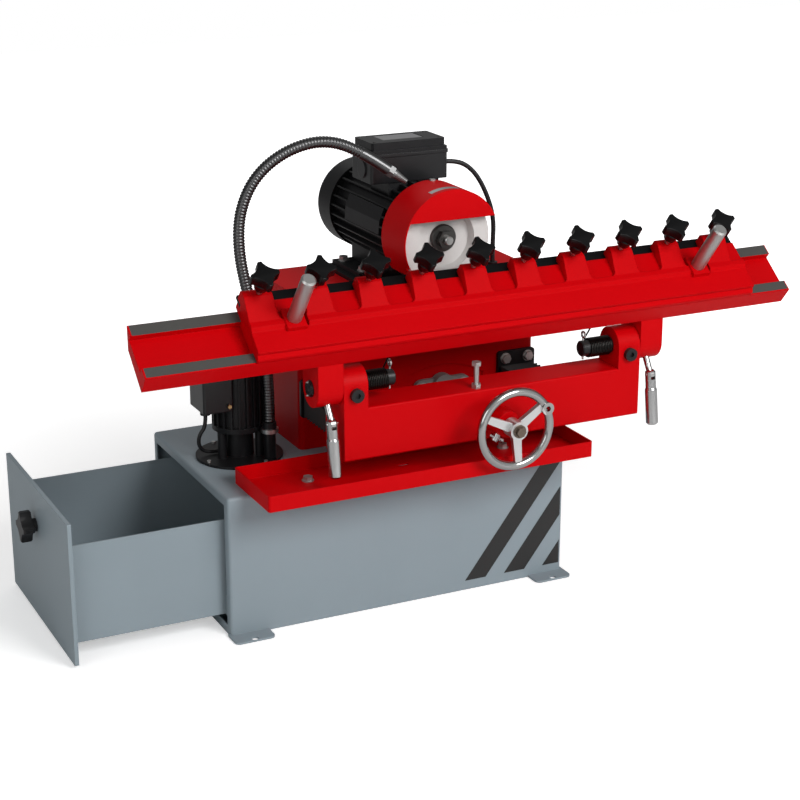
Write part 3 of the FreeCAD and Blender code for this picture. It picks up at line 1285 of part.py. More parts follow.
def pocket_cutter(x):
    """The space between two arms, wider towards the arm tips, down to the pocket floor and past the bar."""
    narrow, wide = POCKET_WIDTH / 2, POCKET_MOUTH / 2
    high = ARM_TOP_N + OVERRUN
    outline = [(x - narrow, ARM_START_W, POCKET_FLOOR), (x + narrow, ARM_START_W, POCKET_FLOOR),
               (x + wide, ARM_TIP_W + OVERRUN, POCKET_FLOOR), (x - wide, ARM_TIP_W + OVERRUN, POCKET_FLOOR)]
    pocket = prism(outline, ALONG_Z * (high - POCKET_FLOOR))
    corners = [edge for edge in pocket.Edges
               if lies_along(edge, ALONG_Z) and edge.Vertexes[0].Point.y < ARM_START_W + SEAT_GAP]
    pocket = pocket.makeFillet(POCKET_CORNER, corners)
    mouth_share = (BAR_FRONT_W - ARM_START_W) / (ARM_TIP_W + OVERRUN - ARM_START_W)
    half = narrow + (wide - narrow) * mouth_share
    bar_back = BAR_FRONT_W - SEAT_GAP
    window = prism([(x - half, bar_back, base_top()), (x + half, bar_back, base_top()),
                    (x + wide, ARM_TIP_W + OVERRUN, base_top()), (x - wide, ARM_TIP_W + OVERRUN, base_top())],
                   ALONG_Z * (high - base_top()))
    return pocket.fuse(window)


def make_clamp_bar():
    """The black bar that the knobs press on the knife."""
    w1 = BAR_FRONT_W + BAR_WIDTH
    bar = box(CARRIAGE_LEFT_X, CARRIAGE_RIGHT_X, BAR_FRONT_W, w1, base_top(), base_top() + BAR_THICKNESS)
    return on_rail(bar)


def make_push_handles():
    """Two turned bars that the operator pushes the carriage by."""
    profile = [(0, 0), (HANDLE_RADIUS, 0), (HANDLE_RADIUS, HANDLE_TOP_N - HANDLE_LOW_N - HANDLE_TIP),
               (HANDLE_RADIUS - HANDLE_TIP, HANDLE_TOP_N - HANDLE_LOW_N), (0, HANDLE_TOP_N - HANDLE_LOW_N)]
    handles = []
    for x in handle_xs():
        bar = spun(profile, Vector(x, HANDLE_W, HANDLE_LOW_N), ALONG_Z)
        foot = Vector(x, HANDLE_W, HANDLE_LOW_N - OVERRUN + RUN_FIT)
        spigot = rod(foot, ALONG_Z, HANDLE_RADIUS / 2, OVERRUN)
        handles.append(on_rail(united([bar, spigot])))
    return Part.makeCompound(handles)


def make_clamp_knob(x):
    """A star knob on a zinc stud that presses the clamp bar."""
    bar_n = base_top() + BAR_THICKNESS
    stud = rod(Vector(0, 0, bar_n + SEAT_GAP), ALONG_Z, KNOB_STUD_RADIUS, KNOB_FOOT_N - bar_n)
    lip = KNOB_FOOT_N + KNOB_COLLAR
    profile = [(0, KNOB_FOOT_N), (KNOB_COLLAR_LOW_RADIUS, KNOB_FOOT_N),
               (KNOB_COLLAR_RADIUS, KNOB_FOOT_N + KNOB_LIP), (KNOB_COLLAR_RADIUS, lip - KNOB_LIP),
               (KNOB_LIP_RADIUS, lip), (KNOB_LIP_RADIUS, lip + KNOB_LIP), (0, lip + KNOB_LIP)]
    collar = spun(profile, Vector(0, 0, 0), ALONG_Z)
    grip = star(KNOB_RADIUS, KNOB_THICKNESS)
    grip.rotate(Vector(0, 0, 0), ALONG_Z, KNOB_TURN)
    grip.translate(Vector(0, 0, lip + KNOB_LIP - KNOB_CROWN))
    knob = united([stud, collar, grip])
    knob.translate(Vector(x, KNOB_W, 0))
    return on_rail(knob)


# Motor and what stands round it

def motor_axis(y):
    return Vector(MOTOR_X, y, MOTOR_Z)


def make_motor_plate():
    z1 = COLUMN_TOP_Z + PLATE_THICKNESS
    plate = rounded_box(PLATE_LEFT_X, PLATE_RIGHT_X, PLATE_FRONT_Y, PLATE_BACK_Y, COLUMN_TOP_Z, z1,
                        PLATE_CORNER)
    return without(plate, [bolt_hole(seat, ALONG_Z, motor_bolt_shank()) for seat in motor_bolt_seats()])


def make_motor_housing():
    """The finned stator casing with its feet and the pad of the terminal box."""
    length = MOTOR_BACK_Y - MOTOR_FRONT_Y
    pieces = [rod(motor_axis(MOTOR_FRONT_Y), ALONG_Y, CORE_RADIUS, length)]
    for index in range(FIN_COUNT):
        fin = box(MOTOR_X + CORE_RADIUS - FIN_THICKNESS, MOTOR_X + FIN_RADIUS, MOTOR_FRONT_Y, MOTOR_BACK_Y,
                  MOTOR_Z - FIN_THICKNESS / 2, MOTOR_Z + FIN_THICKNESS / 2)
        fin.rotate(motor_axis(0), ALONG_Y, (index + 1 / 2) * FULL_TURN / FIN_COUNT)
        pieces.append(fin)
    foot_z = COLUMN_TOP_Z + PLATE_THICKNESS
    pieces.append(box(MOTOR_X - MOTOR_FOOT_HALF, MOTOR_X + MOTOR_FOOT_HALF, MOTOR_FOOT_FRONT_Y,
                      MOTOR_FOOT_BACK_Y, foot_z, foot_z + MOTOR_FOOT))
    pieces.append(box(MOTOR_X - MOTOR_SADDLE_HALF, MOTOR_X + MOTOR_SADDLE_HALF, MOTOR_FOOT_FRONT_Y,
                      MOTOR_FOOT_BACK_Y, foot_z, MOTOR_Z - CORE_RADIUS / 2))
    pieces.append(box(MOTOR_X - MOTOR_PAD_HALF, MOTOR_X + MOTOR_PAD_HALF, BOX_FRONT_Y + BOX_CORNER,
                      BOX_BACK_Y - BOX_CORNER, MOTOR_Z + CORE_RADIUS / 2, BOX_BOTTOM_Z))
    cutters = [rod(motor_axis(MOTOR_FRONT_Y - OVERRUN), ALONG_Y, STATOR_RADIUS, length - BALL_WIDTH),
               rod(motor_axis(MOTOR_FRONT_Y), ALONG_Y, BALL_OUTER_RADIUS, length + OVERRUN)]
    cutters += [bolt_hole(seat, ALONG_Z, motor_bolt_shank()) for seat in motor_bolt_seats()]
    return without(united(pieces), cutters)


def make_front_end_shield():
    """The front bearing shield, whose rim carries the guard."""
    back = MOTOR_FRONT_Y - SHIELD_FRONT_Y
    bore, seat = SHAFT_RADIUS + BOLT_GAP, back - BALL_WIDTH
    profile = [(bore, -SHIELD_HUB), (SHIELD_HUB_RADIUS, -SHIELD_HUB), (SHIELD_HUB_RADIUS, 0),
               (SHIELD_RADIUS, 0), (SHIELD_RADIUS, back), (BALL_OUTER_RADIUS, back),
               (BALL_OUTER_RADIUS, seat), (bore, seat)]
    return spun(profile, motor_axis(SHIELD_FRONT_Y), ALONG_Y)


def make_spindle_bearings():
    """The two ball bearings of the spindle, as plain rings."""
    rings = []
    for y in (MOTOR_FRONT_Y - BALL_WIDTH, MOTOR_BACK_Y - BALL_WIDTH):
        ring = rod(motor_axis(y), ALONG_Y, BALL_OUTER_RADIUS, BALL_WIDTH)
        bore = rod(motor_axis(y - OVERRUN), ALONG_Y, SHAFT_RADIUS + RUN_FIT, BALL_WIDTH + OVERRUN * 2)
        rings.append(ring.cut(bore))
    return Part.makeCompound(rings)


def make_rotor_shaft():
    """The rotor on its shaft, stepped down to the wheel seat and the thread."""
    y0 = CUP_FRONT_Y + CUP_RECESS - FLANGE_THICKNESS - SPINDLE_NUT - SPINDLE_END
    nut_y = y0 + SPINDLE_END
    seat_y = nut_y + SPINDLE_NUT
    step_y = CUP_FRONT_Y + CUP_DEPTH + REAR_FLANGE
    rotor0, rotor1 = MOTOR_FRONT_Y + ROTOR_END_GAP, MOTOR_BACK_Y - BALL_WIDTH - ROTOR_END_GAP
    fan_y = MOTOR_BACK_Y + COVER_LAP
    tail = fan_y + FAN_WIDTH - SEAT_GAP
    profile = [(0, y0), (THREAD_RADIUS - THREAD_EDGE, y0), (THREAD_RADIUS, y0 + THREAD_EDGE),
               (THREAD_RADIUS, seat_y), (SPINDLE_RADIUS, seat_y), (SPINDLE_RADIUS, step_y),
               (SHAFT_RADIUS, step_y), (SHAFT_RADIUS, rotor0), (ROTOR_RADIUS, rotor0),
               (ROTOR_RADIUS, rotor1), (SHAFT_RADIUS, rotor1), (SHAFT_RADIUS, tail), (0, tail)]
    return spun(profile, motor_axis(0), ALONG_Y)


def make_cooling_fan():
    """The radial fan behind the motor: hub, disc and straight blades."""
    start = motor_axis(MOTOR_BACK_Y + COVER_LAP)
    pieces = [rod(start, ALONG_Y, FAN_HUB_RADIUS, FAN_WIDTH), rod(start, ALONG_Y, FAN_RADIUS, FAN_DISC)]
    for blade in range(FAN_BLADES):
        vane = box(MOTOR_X + FAN_HUB_RADIUS - FAN_BLADE, MOTOR_X + FAN_RADIUS - FAN_BLADE,
                   start.y, start.y + FAN_WIDTH, MOTOR_Z - FAN_BLADE / 2, MOTOR_Z + FAN_BLADE / 2)
        vane.rotate(motor_axis(0), ALONG_Y, blade * FULL_TURN / FAN_BLADES)
        pieces.append(vane)
    bore = rod(start - ALONG_Y * OVERRUN, ALONG_Y, SHAFT_RADIUS, FAN_WIDTH + OVERRUN * 2)
    return united(pieces).cut(bore)


def make_fan_cover():
    """The domed cover with a ring of air slots in its end."""
    wall, dome = COVER_WALL, COVER_DOME
    start, end = -COVER_LAP, COVER_LENGTH
    pieces = []
    for inset in (0, wall):
        radius, tip = COVER_RADIUS - inset, end - inset
        bend = dome - inset / 2
        turn = math.radians(RIGHT_ANGLE / 2)
        middle = Vector(radius - bend + bend * math.cos(turn), tip - bend + bend * math.sin(turn), 0)
        low = start - inset * 2
        sides = Part.makePolygon([Vector(radius - bend, tip, 0), Vector(0, tip, 0), Vector(0, low, 0),
                                  Vector(radius, low, 0), Vector(radius, tip - bend, 0)]).Edges
        arc = Part.Arc(Vector(radius, tip - bend, 0), middle, Vector(radius - bend, tip, 0)).toShape()
        pieces.append(Part.Face(Part.Wire(sides + [arc])).revolve(Vector(0, 0, 0), ALONG_Y, FULL_TURN))
    cover = pieces[0].cut(pieces[1])
    cover.translate(motor_axis(MOTOR_BACK_Y))
    slots = []
    for index in range(COVER_SLOTS):
        slot = box(MOTOR_X + COVER_SLOT_INNER, MOTOR_X + COVER_SLOT_OUTER, MOTOR_BACK_Y + end - wall * 2,
                   MOTOR_BACK_Y + end + wall, MOTOR_Z - COVER_SLOT_WIDTH / 2, MOTOR_Z + COVER_SLOT_WIDTH / 2)
        slot.rotate(motor_axis(0), ALONG_Y, index * FULL_TURN / COVER_SLOTS)
        slots.append(slot)
    return without(cover, slots)


def make_terminal_box():
    top = BOX_BOTTOM_Z + BOX_HEIGHT
    case = rounded_box(BOX_LEFT_X, BOX_RIGHT_X, BOX_FRONT_Y, BOX_BACK_Y, BOX_BOTTOM_Z, top, BOX_CORNER)
    proud = LID_RIM_PROUD
    edge = rounded_box(BOX_LEFT_X - proud, BOX_RIGHT_X + proud, BOX_FRONT_Y - proud, BOX_BACK_Y + proud,
                       top - LID_RIM, top, BOX_CORNER)
    cap_start = Vector(BOX_LEFT_X - KNOCKOUT, KNOCKOUT_Y, KNOCKOUT_Z)
    cap = rod(cap_start, ALONG_X, KNOCKOUT_RADIUS, KNOCKOUT + OVERRUN)
    return united([case, edge, cap])


def make_terminal_lid():
    """The lid, with a stepped edge and a shallow bare field."""
    z0 = BOX_BOTTOM_Z + BOX_HEIGHT
    z1 = z0 + LID_HEIGHT
    inset = LID_INSET
    low = rounded_box(BOX_LEFT_X, BOX_RIGHT_X, BOX_FRONT_Y, BOX_BACK_Y, z0, z0 + LID_RIM, BOX_CORNER)
    high = rounded_box(BOX_LEFT_X + inset, BOX_RIGHT_X - inset, BOX_FRONT_Y + inset, BOX_BACK_Y - inset,
                       z0, z1, BOX_CORNER)
    centre = (BOX_LEFT_X + BOX_RIGHT_X) / 2
    field = box(centre - LID_PANEL_HALF, centre + LID_PANEL_HALF, BOX_FRONT_Y + LID_PANEL_FRONT,
                BOX_FRONT_Y + LID_PANEL_BACK, z1 - LID_PANEL_DEPTH, z1 + OVERRUN)
    return united([low, high]).cut(field)


def gland(start, axis, length):
    """A cable gland: a hexagon and a round nut, with the cable's end face against it."""
    nut = hexagon(start, axis, GLAND_RADIUS * 2, GLAND_NUT)
    body = rod(start, axis, GLAND_BODY_RADIUS, length)
    return nut.fuse(body)


def make_cable_glands():
    motor = gland(Vector(BOX_RIGHT_X, MOTOR_GLAND_Y, MOTOR_GLAND_Z), ALONG_X, GLAND_LENGTH)
    pump_x, pump_y, pump_z = PUMP_CABLE_ROUTE[0]
    pump = gland(Vector(pump_x, pump_y, PUMP_BOX_BOTTOM_Z), -ALONG_Z, PUMP_BOX_BOTTOM_Z - pump_z)
    end_x, end_y = MOTOR_CABLE_ROUTE[-1][:2]
    grommet = rod(Vector(end_x, end_y, COLUMN_TOP_Z), ALONG_Z, GROMMET_RADIUS, GROMMET)
    return Part.makeCompound([motor, pump, grommet])


def make_wheel_guard():
    """The band round the wheel and its front plate, with a notch for the knife."""
    length = MOTOR_FRONT_Y - GUARD_FRONT_Y
    centre = motor_axis(GUARD_FRONT_Y)
    drum = rod(centre, ALONG_Y, GUARD_RADIUS, length)
    hollow = rod(centre - ALONG_Y * OVERRUN, ALONG_Y, GUARD_RADIUS - GUARD_SHEET, length + OVERRUN * 2)
    reach = GUARD_RADIUS * 3
    wedge = [(MOTOR_X, GUARD_FRONT_Y - OVERRUN, MOTOR_Z)]
    sweep = GUARD_LEFT_ANGLE - FULL_TURN - GUARD_RIGHT_ANGLE
    for step in range(WEDGE_STEPS + 1):
        turn = math.radians(GUARD_RIGHT_ANGLE + sweep * step / WEDGE_STEPS)
        across, up = reach * math.cos(turn), reach * math.sin(turn)
        wedge.append((MOTOR_X + across, GUARD_FRONT_Y - OVERRUN, MOTOR_Z + up))
    opening = prism(wedge, ALONG_Y * (length + OVERRUN * 2))
    notch = box(MOTOR_X - reach, MOTOR_X, GUARD_FRONT_Y - OVERRUN, GUARD_FRONT_Y + GUARD_NOTCH_DEPTH,
                MOTOR_Z - reach, GUARD_NOTCH_TOP_Z)
    band = without(drum, [hollow, opening, notch])
    plate = rod(centre, ALONG_Y, GUARD_RADIUS, GUARD_SHEET)
    below = box(MOTOR_X - reach, MOTOR_X + reach, GUARD_FRONT_Y - OVERRUN, GUARD_FRONT_Y + OVERRUN,
                MOTOR_Z - reach, GUARD_CHORD_Z)
    guard = united([band, plate.cut(below)])
    holes = []
    for angle in GUARD_SCREW_ANGLES:
        start = guard_screw_place(angle, GUARD_RADIUS - OVERRUN)
        holes.append(rod(start, guard_screw_axis(angle), GUARD_SCREW_RADIUS / 2, OVERRUN * 2))
    return without(guard, holes)


def guard_screw_axis(angle):
    turn = math.radians(angle)
    return Vector(math.cos(turn), 0, math.sin(turn))


def guard_screw_place(angle, radius):
    y = (SHIELD_FRONT_Y + MOTOR_FRONT_Y) / 2
    return motor_axis(y) + guard_screw_axis(angle) * radius


def make_cup_wheel():
    """The white cup wheel with a shallow recess in its face."""
    edge = CUP_EDGE
    profile = [(CUP_BORE_RADIUS, CUP_RECESS), (CUP_RECESS_RADIUS - edge * 2, CUP_RECESS),
               (CUP_RECESS_RADIUS, 0), (CUP_RADIUS - edge, 0), (CUP_RADIUS, edge),
               (CUP_RADIUS, CUP_DEPTH - edge), (CUP_RADIUS - edge, CUP_DEPTH), (CUP_BORE_RADIUS, CUP_DEPTH)]
    return spun(profile, motor_axis(CUP_FRONT_Y), ALONG_Y)


def make_wheel_flanges():
    """The rear flange with its hub through the wheel, and the front flange."""
    bore = SPINDLE_RADIUS
    hub = CUP_BORE_RADIUS
    back = CUP_DEPTH + REAR_FLANGE
    rear = [(bore, CUP_RECESS + RUN_FIT), (hub, CUP_RECESS + RUN_FIT), (hub, CUP_DEPTH),
            (REAR_FLANGE_RADIUS, CUP_DEPTH), (REAR_FLANGE_RADIUS, back), (bore, back)]
    face = CUP_RECESS - FLANGE_THICKNESS
    front = [(bore, CUP_RECESS), (FLANGE_RADIUS, CUP_RECESS), (FLANGE_RADIUS, face + CUP_EDGE),
             (FLANGE_RADIUS - CUP_EDGE, face), (bore, face)]
    return Part.makeCompound([spun(profile, motor_axis(CUP_FRONT_Y), ALONG_Y) for profile in (rear, front)])


def make_spindle_nut():
    start = motor_axis(CUP_FRONT_Y + CUP_RECESS - FLANGE_THICKNESS)
    nut = hexagon(start, -ALONG_Y, SPINDLE_NUT_ACROSS, SPINDLE_NUT)
    return nut.cut(rod(start + ALONG_Y * OVERRUN, -ALONG_Y, THREAD_RADIUS, SPINDLE_NUT + OVERRUN * 2))


# Coolant pump, pipe and hose

def pump_axis(z):
    return Vector(PUMP_X, PUMP_Y, z)


def pump_screw_places(z):
    places = []
    for index in range(PUMP_SCREW_COUNT):
        turn = math.radians(PUMP_SCREW_ANGLE + index * FULL_TURN / PUMP_SCREW_COUNT)
        places.append(pump_axis(z) + Vector(math.cos(turn), math.sin(turn), 0) * PUMP_SCREW_CIRCLE)
    return places


def make_pump_body():
    """The flange on the cabinet, three posts up to the motor and the stem that dips into the drawer."""
    flange_top = CABINET_HEIGHT + PUMP_FLANGE
    pieces = [rod(pump_axis(CABINET_HEIGHT), ALONG_Z, PUMP_FLANGE_RADIUS, PUMP_FLANGE),
              rod(pump_axis(PUMP_STEM_BOTTOM_Z), ALONG_Z, PUMP_STEM_RADIUS, flange_top - PUMP_STEM_BOTTOM_Z),
              rod(pump_axis(flange_top), ALONG_Z, PUMP_NECK_RADIUS, PUMP_MOTOR_BOTTOM_Z - flange_top)]
    for index in range(PUMP_POSTS):
        turn = math.radians(PUMP_POST_ANGLE + index * FULL_TURN / PUMP_POSTS)
        foot = pump_axis(flange_top) + Vector(math.cos(turn), math.sin(turn), 0) * post_circle()
        pieces.append(rod(foot, ALONG_Z, PUMP_POST_RADIUS, PUMP_MOTOR_BOTTOM_Z - flange_top))
    end = Vector(*PUMP_CABLE_ROUTE[-1])
    reach = CABLE_ENTRY_RADIUS
    entry = rod(Vector(end.x + reach, end.y, flange_top), ALONG_Z, reach, CABLE_ENTRY_HEIGHT)
    face = box(end.x - reach, end.x, end.y - reach, end.y + reach,
               flange_top, flange_top + CABLE_ENTRY_HEIGHT + OVERRUN)
    body = united(pieces + [entry.cut(face)])
    cutters = []
    for index in range(PUMP_STEM_SLOTS // 2):
        slot = box(-PUMP_STEM_RADIUS * 2, PUMP_STEM_RADIUS * 2, -PUMP_STEM_SLOT / 2, PUMP_STEM_SLOT / 2,
                   PUMP_STEM_BOTTOM_Z - OVERRUN, PUMP_STEM_BOTTOM_Z + PUMP_STEM_SLOT * 2)
        slot.rotate(Vector(0, 0, 0), ALONG_Z, index * RIGHT_ANGLE)
        slot.translate(pump_axis(0))
        cutters.append(slot)
    for place in pump_screw_places(CABINET_HEIGHT - OVERRUN):
        cutters.append(rod(place, ALONG_Z, PUMP_SCREW_RADIUS / 2 + BOLT_GAP, PUMP_FLANGE + OVERRUN * 2))
    cutters.append(rod(Vector(PIPE_X, PIPE_Y, CABINET_HEIGHT - OVERRUN), ALONG_Z, PIPE_BORE_RADIUS,
                       PUMP_FLANGE + OVERRUN * 2))
    return without(body, cutters)


def post_circle():
    return PUMP_MOTOR_RADIUS - PUMP_POST_RADIUS


def make_pump_motor():
    """The upright finned pump motor with its cap."""
    base = PUMP_MOTOR_BOTTOM_Z
    top = base + PUMP_MOTOR_HEIGHT
    core = PUMP_MOTOR_RADIUS - PUMP_MOTOR_FIN_DEPTH
    pieces = [rod(pump_axis(base), ALONG_Z, PUMP_MOTOR_RADIUS, PUMP_MOTOR_BASE),
              rod(pump_axis(base), ALONG_Z, core, PUMP_MOTOR_HEIGHT)]
    for index in range(PUMP_MOTOR_FINS):
        half = PUMP_MOTOR_FIN / 2
        fin = box(core - PUMP_MOTOR_FIN, PUMP_MOTOR_RADIUS, -half, half, base, top)
        fin.rotate(Vector(0, 0, 0), ALONG_Z, index * FULL_TURN / PUMP_MOTOR_FINS)
        fin.translate(pump_axis(0))
        pieces.append(fin)
    crown, cap_top = PUMP_CAP / 3, top + PUMP_CAP
    profile = [(0, top), (PUMP_CAP_RADIUS, top), (PUMP_CAP_RADIUS, cap_top - crown),
               (PUMP_CAP_RADIUS - crown, cap_top), (0, cap_top)]
    pieces.append(spun(profile, pump_axis(0), ALONG_Z))
    return united(pieces)


def make_pump_terminal_box():
    top = PUMP_BOX_BOTTOM_Z + PUMP_BOX_HEIGHT
    case = rounded_box(PUMP_BOX_LEFT_X, PUMP_BOX_RIGHT_X, PUMP_BOX_FRONT_Y, PUMP_BOX_BACK_Y,
                       PUMP_BOX_BOTTOM_Z, top, PUMP_BOX_CORNER)
    room = rod(pump_axis(PUMP_BOX_BOTTOM_Z - OVERRUN), ALONG_Z, PUMP_MOTOR_RADIUS + RUN_FIT,
               PUMP_BOX_HEIGHT + OVERRUN * 2)
    cap_room = rod(pump_axis(PUMP_MOTOR_BOTTOM_Z + PUMP_MOTOR_HEIGHT - RUN_FIT), ALONG_Z,
                   PUMP_CAP_RADIUS + RUN_FIT, PUMP_BOX_HEIGHT)
    inset = PUMP_SCREW_RADIUS * 3
    place = Vector(PUMP_BOX_RIGHT_X - inset, PUMP_BOX_FRONT_Y + RUN_FIT, PUMP_BOX_BOTTOM_Z + inset)
    boss = rod(place, -ALONG_Y, PUMP_SCREW_RADIUS, PUMP_SCREW_RADIUS)
    return without(case, [room, cap_room]).fuse(boss)


def make_coolant_pipe():
    """The riser on the pump flange, its zinc ring and the hose socket."""
    base = CABINET_HEIGHT + PUMP_FLANGE
    top = HOSE_ROUTE[0][2]
    ring_top = PIPE_TOP_Z + RING_HEIGHT
    profile = [(PIPE_BORE_RADIUS, base), (PIPE_RADIUS, base), (PIPE_RADIUS, PIPE_TOP_Z),
               (RING_RADIUS, PIPE_TOP_Z), (RING_RADIUS, ring_top), (SOCKET_RADIUS, ring_top),
               (SOCKET_RADIUS, top), (PIPE_BORE_RADIUS, top)]
    return spun(profile, Vector(PIPE_X, PIPE_Y, 0), ALONG_Z)


def make_coolant_hose():
    """The ribbed metal hose: ribs along the route, each through four circles, and a plain bore."""
    edges = route_edges("coolant hose", HOSE_ROUTE)
    length = sum(edge.Length for edge in edges)
    lead = HOSE_RADIUS * 2
    pitch = (length - lead * 2) / HOSE_RIBS
    outer = [ring_across(edges, 0, HOSE_ROOT_RADIUS)]
    inner = [ring_across(edges, 0, HOSE_BORE_RADIUS)]
    rib_radii = (HOSE_ROOT_RADIUS, HOSE_RADIUS, HOSE_RADIUS, HOSE_ROOT_RADIUS)
    for rib in range(HOSE_RIBS):
        start = lead + rib * pitch
        for share, radius in zip(HOSE_RIB_SHARES, rib_radii):
            outer.append(ring_across(edges, start + share * pitch, radius))
        inner.append(ring_across(edges, start, HOSE_BORE_RADIUS))
    outer.append(ring_across(edges, length, HOSE_ROOT_RADIUS))
    inner.append(ring_across(edges, length - lead, HOSE_BORE_RADIUS))
    inner.append(ring_across(edges, length, HOSE_BORE_RADIUS))
    hose = Part.makeLoft(outer, True, True).cut(Part.makeLoft(inner, True, True))
    print("coolant hose length", round(length, 1), "volume", round(hose.Volume))
    return hose


def make_hose_nozzle():
    """The hexagon nut, collar and cone at the hose's end."""
    start, before = Vector(*HOSE_ROUTE[-1]), Vector(*HOSE_ROUTE[-2])
    axis = unit(start - before)
    collar = NOZZLE_NUT + NOZZLE_COLLAR
    end = collar + NOZZLE_CONE
    profile = [(0, NOZZLE_NUT / 2), (NOZZLE_COLLAR_RADIUS, NOZZLE_NUT / 2), (NOZZLE_COLLAR_RADIUS, collar),
               (NOZZLE_CONE_RADIUS, collar), (NOZZLE_TIP_RADIUS, end), (0, end)]
    cone = spun(profile, start, axis)
    nut = hexagon(start, axis, NOZZLE_ACROSS, NOZZLE_NUT)
    bore = rod(start - axis * OVERRUN, axis, NOZZLE_BORE_RADIUS, end + OVERRUN * 2)
    return united([nut, cone]).cut(bore)


def make_motor_cable():
    return swept("motor cable", route_edges("motor cable", MOTOR_CABLE_ROUTE), CABLE_RADIUS)


def make_pump_cable():
    return swept("pump cable", route_edges("pump cable", PUMP_CABLE_ROUTE), PUMP_CABLE_RADIUS)


def make_base_fasteners():
    """Bolts of the tray, nut, way plates and motor, and the screws of the guard and pump."""
    pieces = [bolt(seat, ALONG_Z) for seat in tray_bolt_seats()]
    pieces += [bolt(seat, -ALONG_Y) for seat in nut_bolt_seats() + way_bolt_seats()]
    pieces += [bolt(seat, ALONG_Z, motor_bolt_shank()) for seat in motor_bolt_seats()]
    for angle in GUARD_SCREW_ANGLES:
        axis = guard_screw_axis(angle)
        head = rod(guard_screw_place(angle, GUARD_RADIUS), axis, GUARD_SCREW_RADIUS, GUARD_SCREW_HEAD)
        pieces.append(head)
    for place in pump_screw_places(CABINET_HEIGHT + PUMP_FLANGE):
        head = rod(place, ALONG_Z, PUMP_SCREW_RADIUS, PUMP_SCREW_RADIUS)
        stem = rod(place - ALONG_Z * PUMP_FLANGE, ALONG_Z, PUMP_SCREW_RADIUS / 2, PUMP_FLANGE + RUN_FIT)
        pieces.append(head.fuse(stem))
    return Part.makeCompound(pieces)


def sub_parts():
    """Every sub-part by name."""
    parts = {
        "cabinet_shell": make_cabinet_shell(), "drawer_box": make_drawer_box(),
        "drawer_front": make_drawer_front(), "drawer_knob": make_drawer_knob(),
        "drip_tray": make_drip_tray(), "column_body": make_column_body(), "feed_nut": make_feed_nut(),
        "way_plates": make_way_plates(), "way_bellows": make_way_bellows(),
        "base_fasteners": make_base_fasteners(), "crossbeam": make_crossbeam(),
        "guide_bars": make_guide_bars(), "beam_fasteners": make_beam_fasteners(),
        "feed_bearing": make_feed_bearing(), "lock_screw": make_lock_screw(),
        "feed_screw": make_feed_screw(), "handwheel": make_handwheel(),
        "knife_rail": make_knife_rail(),
        "pivot_shafts": make_pivot_shafts(), "torsion_springs": make_torsion_springs(),
        "carriage_base": make_carriage_base(),
        "clamp_plate": make_clamp_plate(), "clamp_bar": make_clamp_bar(),
        "push_handles": make_push_handles(), "motor_plate": make_motor_plate(),
        "motor_housing": make_motor_housing(), "front_end_shield": make_front_end_shield(),
        "fan_cover": make_fan_cover(), "terminal_box": make_terminal_box(),
        "terminal_lid": make_terminal_lid(), "cable_glands": make_cable_glands(),
        "motor_cable": make_motor_cable(), "wheel_guard": make_wheel_guard(),
        "spindle_bearings": make_spindle_bearings(), "rotor_shaft": make_rotor_shaft(),
        "cooling_fan": make_cooling_fan(), "cup_wheel": make_cup_wheel(),
        "wheel_flanges": make_wheel_flanges(), "spindle_nut": make_spindle_nut(),
        "pump_body": make_pump_body(), "pump_motor": make_pump_motor(),
        "pump_terminal_box": make_pump_terminal_box(), "pump_cable": make_pump_cable(),
        "coolant_pipe": make_coolant_pipe(), "coolant_hose": make_coolant_hose(),
        "hose_nozzle": make_hose_nozzle(),
    }
    for number, x in enumerate(knob_xs()):
        parts["clamp_knob_%02d" % (number + 1)] = make_clamp_knob(x)
    left, right = lever_xs()
    parts["lever_screw_left"] = make_lever_screw(left)
    parts["lever_screw_right"] = make_lever_screw(right)
    parts["lever_handle_left"] = make_lever_handle(left)
    parts["lever_handle_right"] = make_lever_handle(right)
    return parts


def main():
    os.makedirs("parts", exist_ok=True)
    parts = sub_parts()
    for name, shape in parts.items():
        shape.exportStep(os.path.join("parts", name + ".step"))
        if not shape.isValid() or shape.Volume <= 0:
            print("check", name, shape.isValid(), round(shape.Volume, 1))
    print(len(parts), "sub-parts")


main()
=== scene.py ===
"""Looks of the planer knife grinder: finishes, cords, bellows, bands, plates and the studio."""
import math

import bmesh
import bpy
from bmesh.types import BMEdge, BMVert
from bpy.props import FloatProperty, FloatVectorProperty, IntProperty, PointerProperty
from mathutils import Matrix, Vector


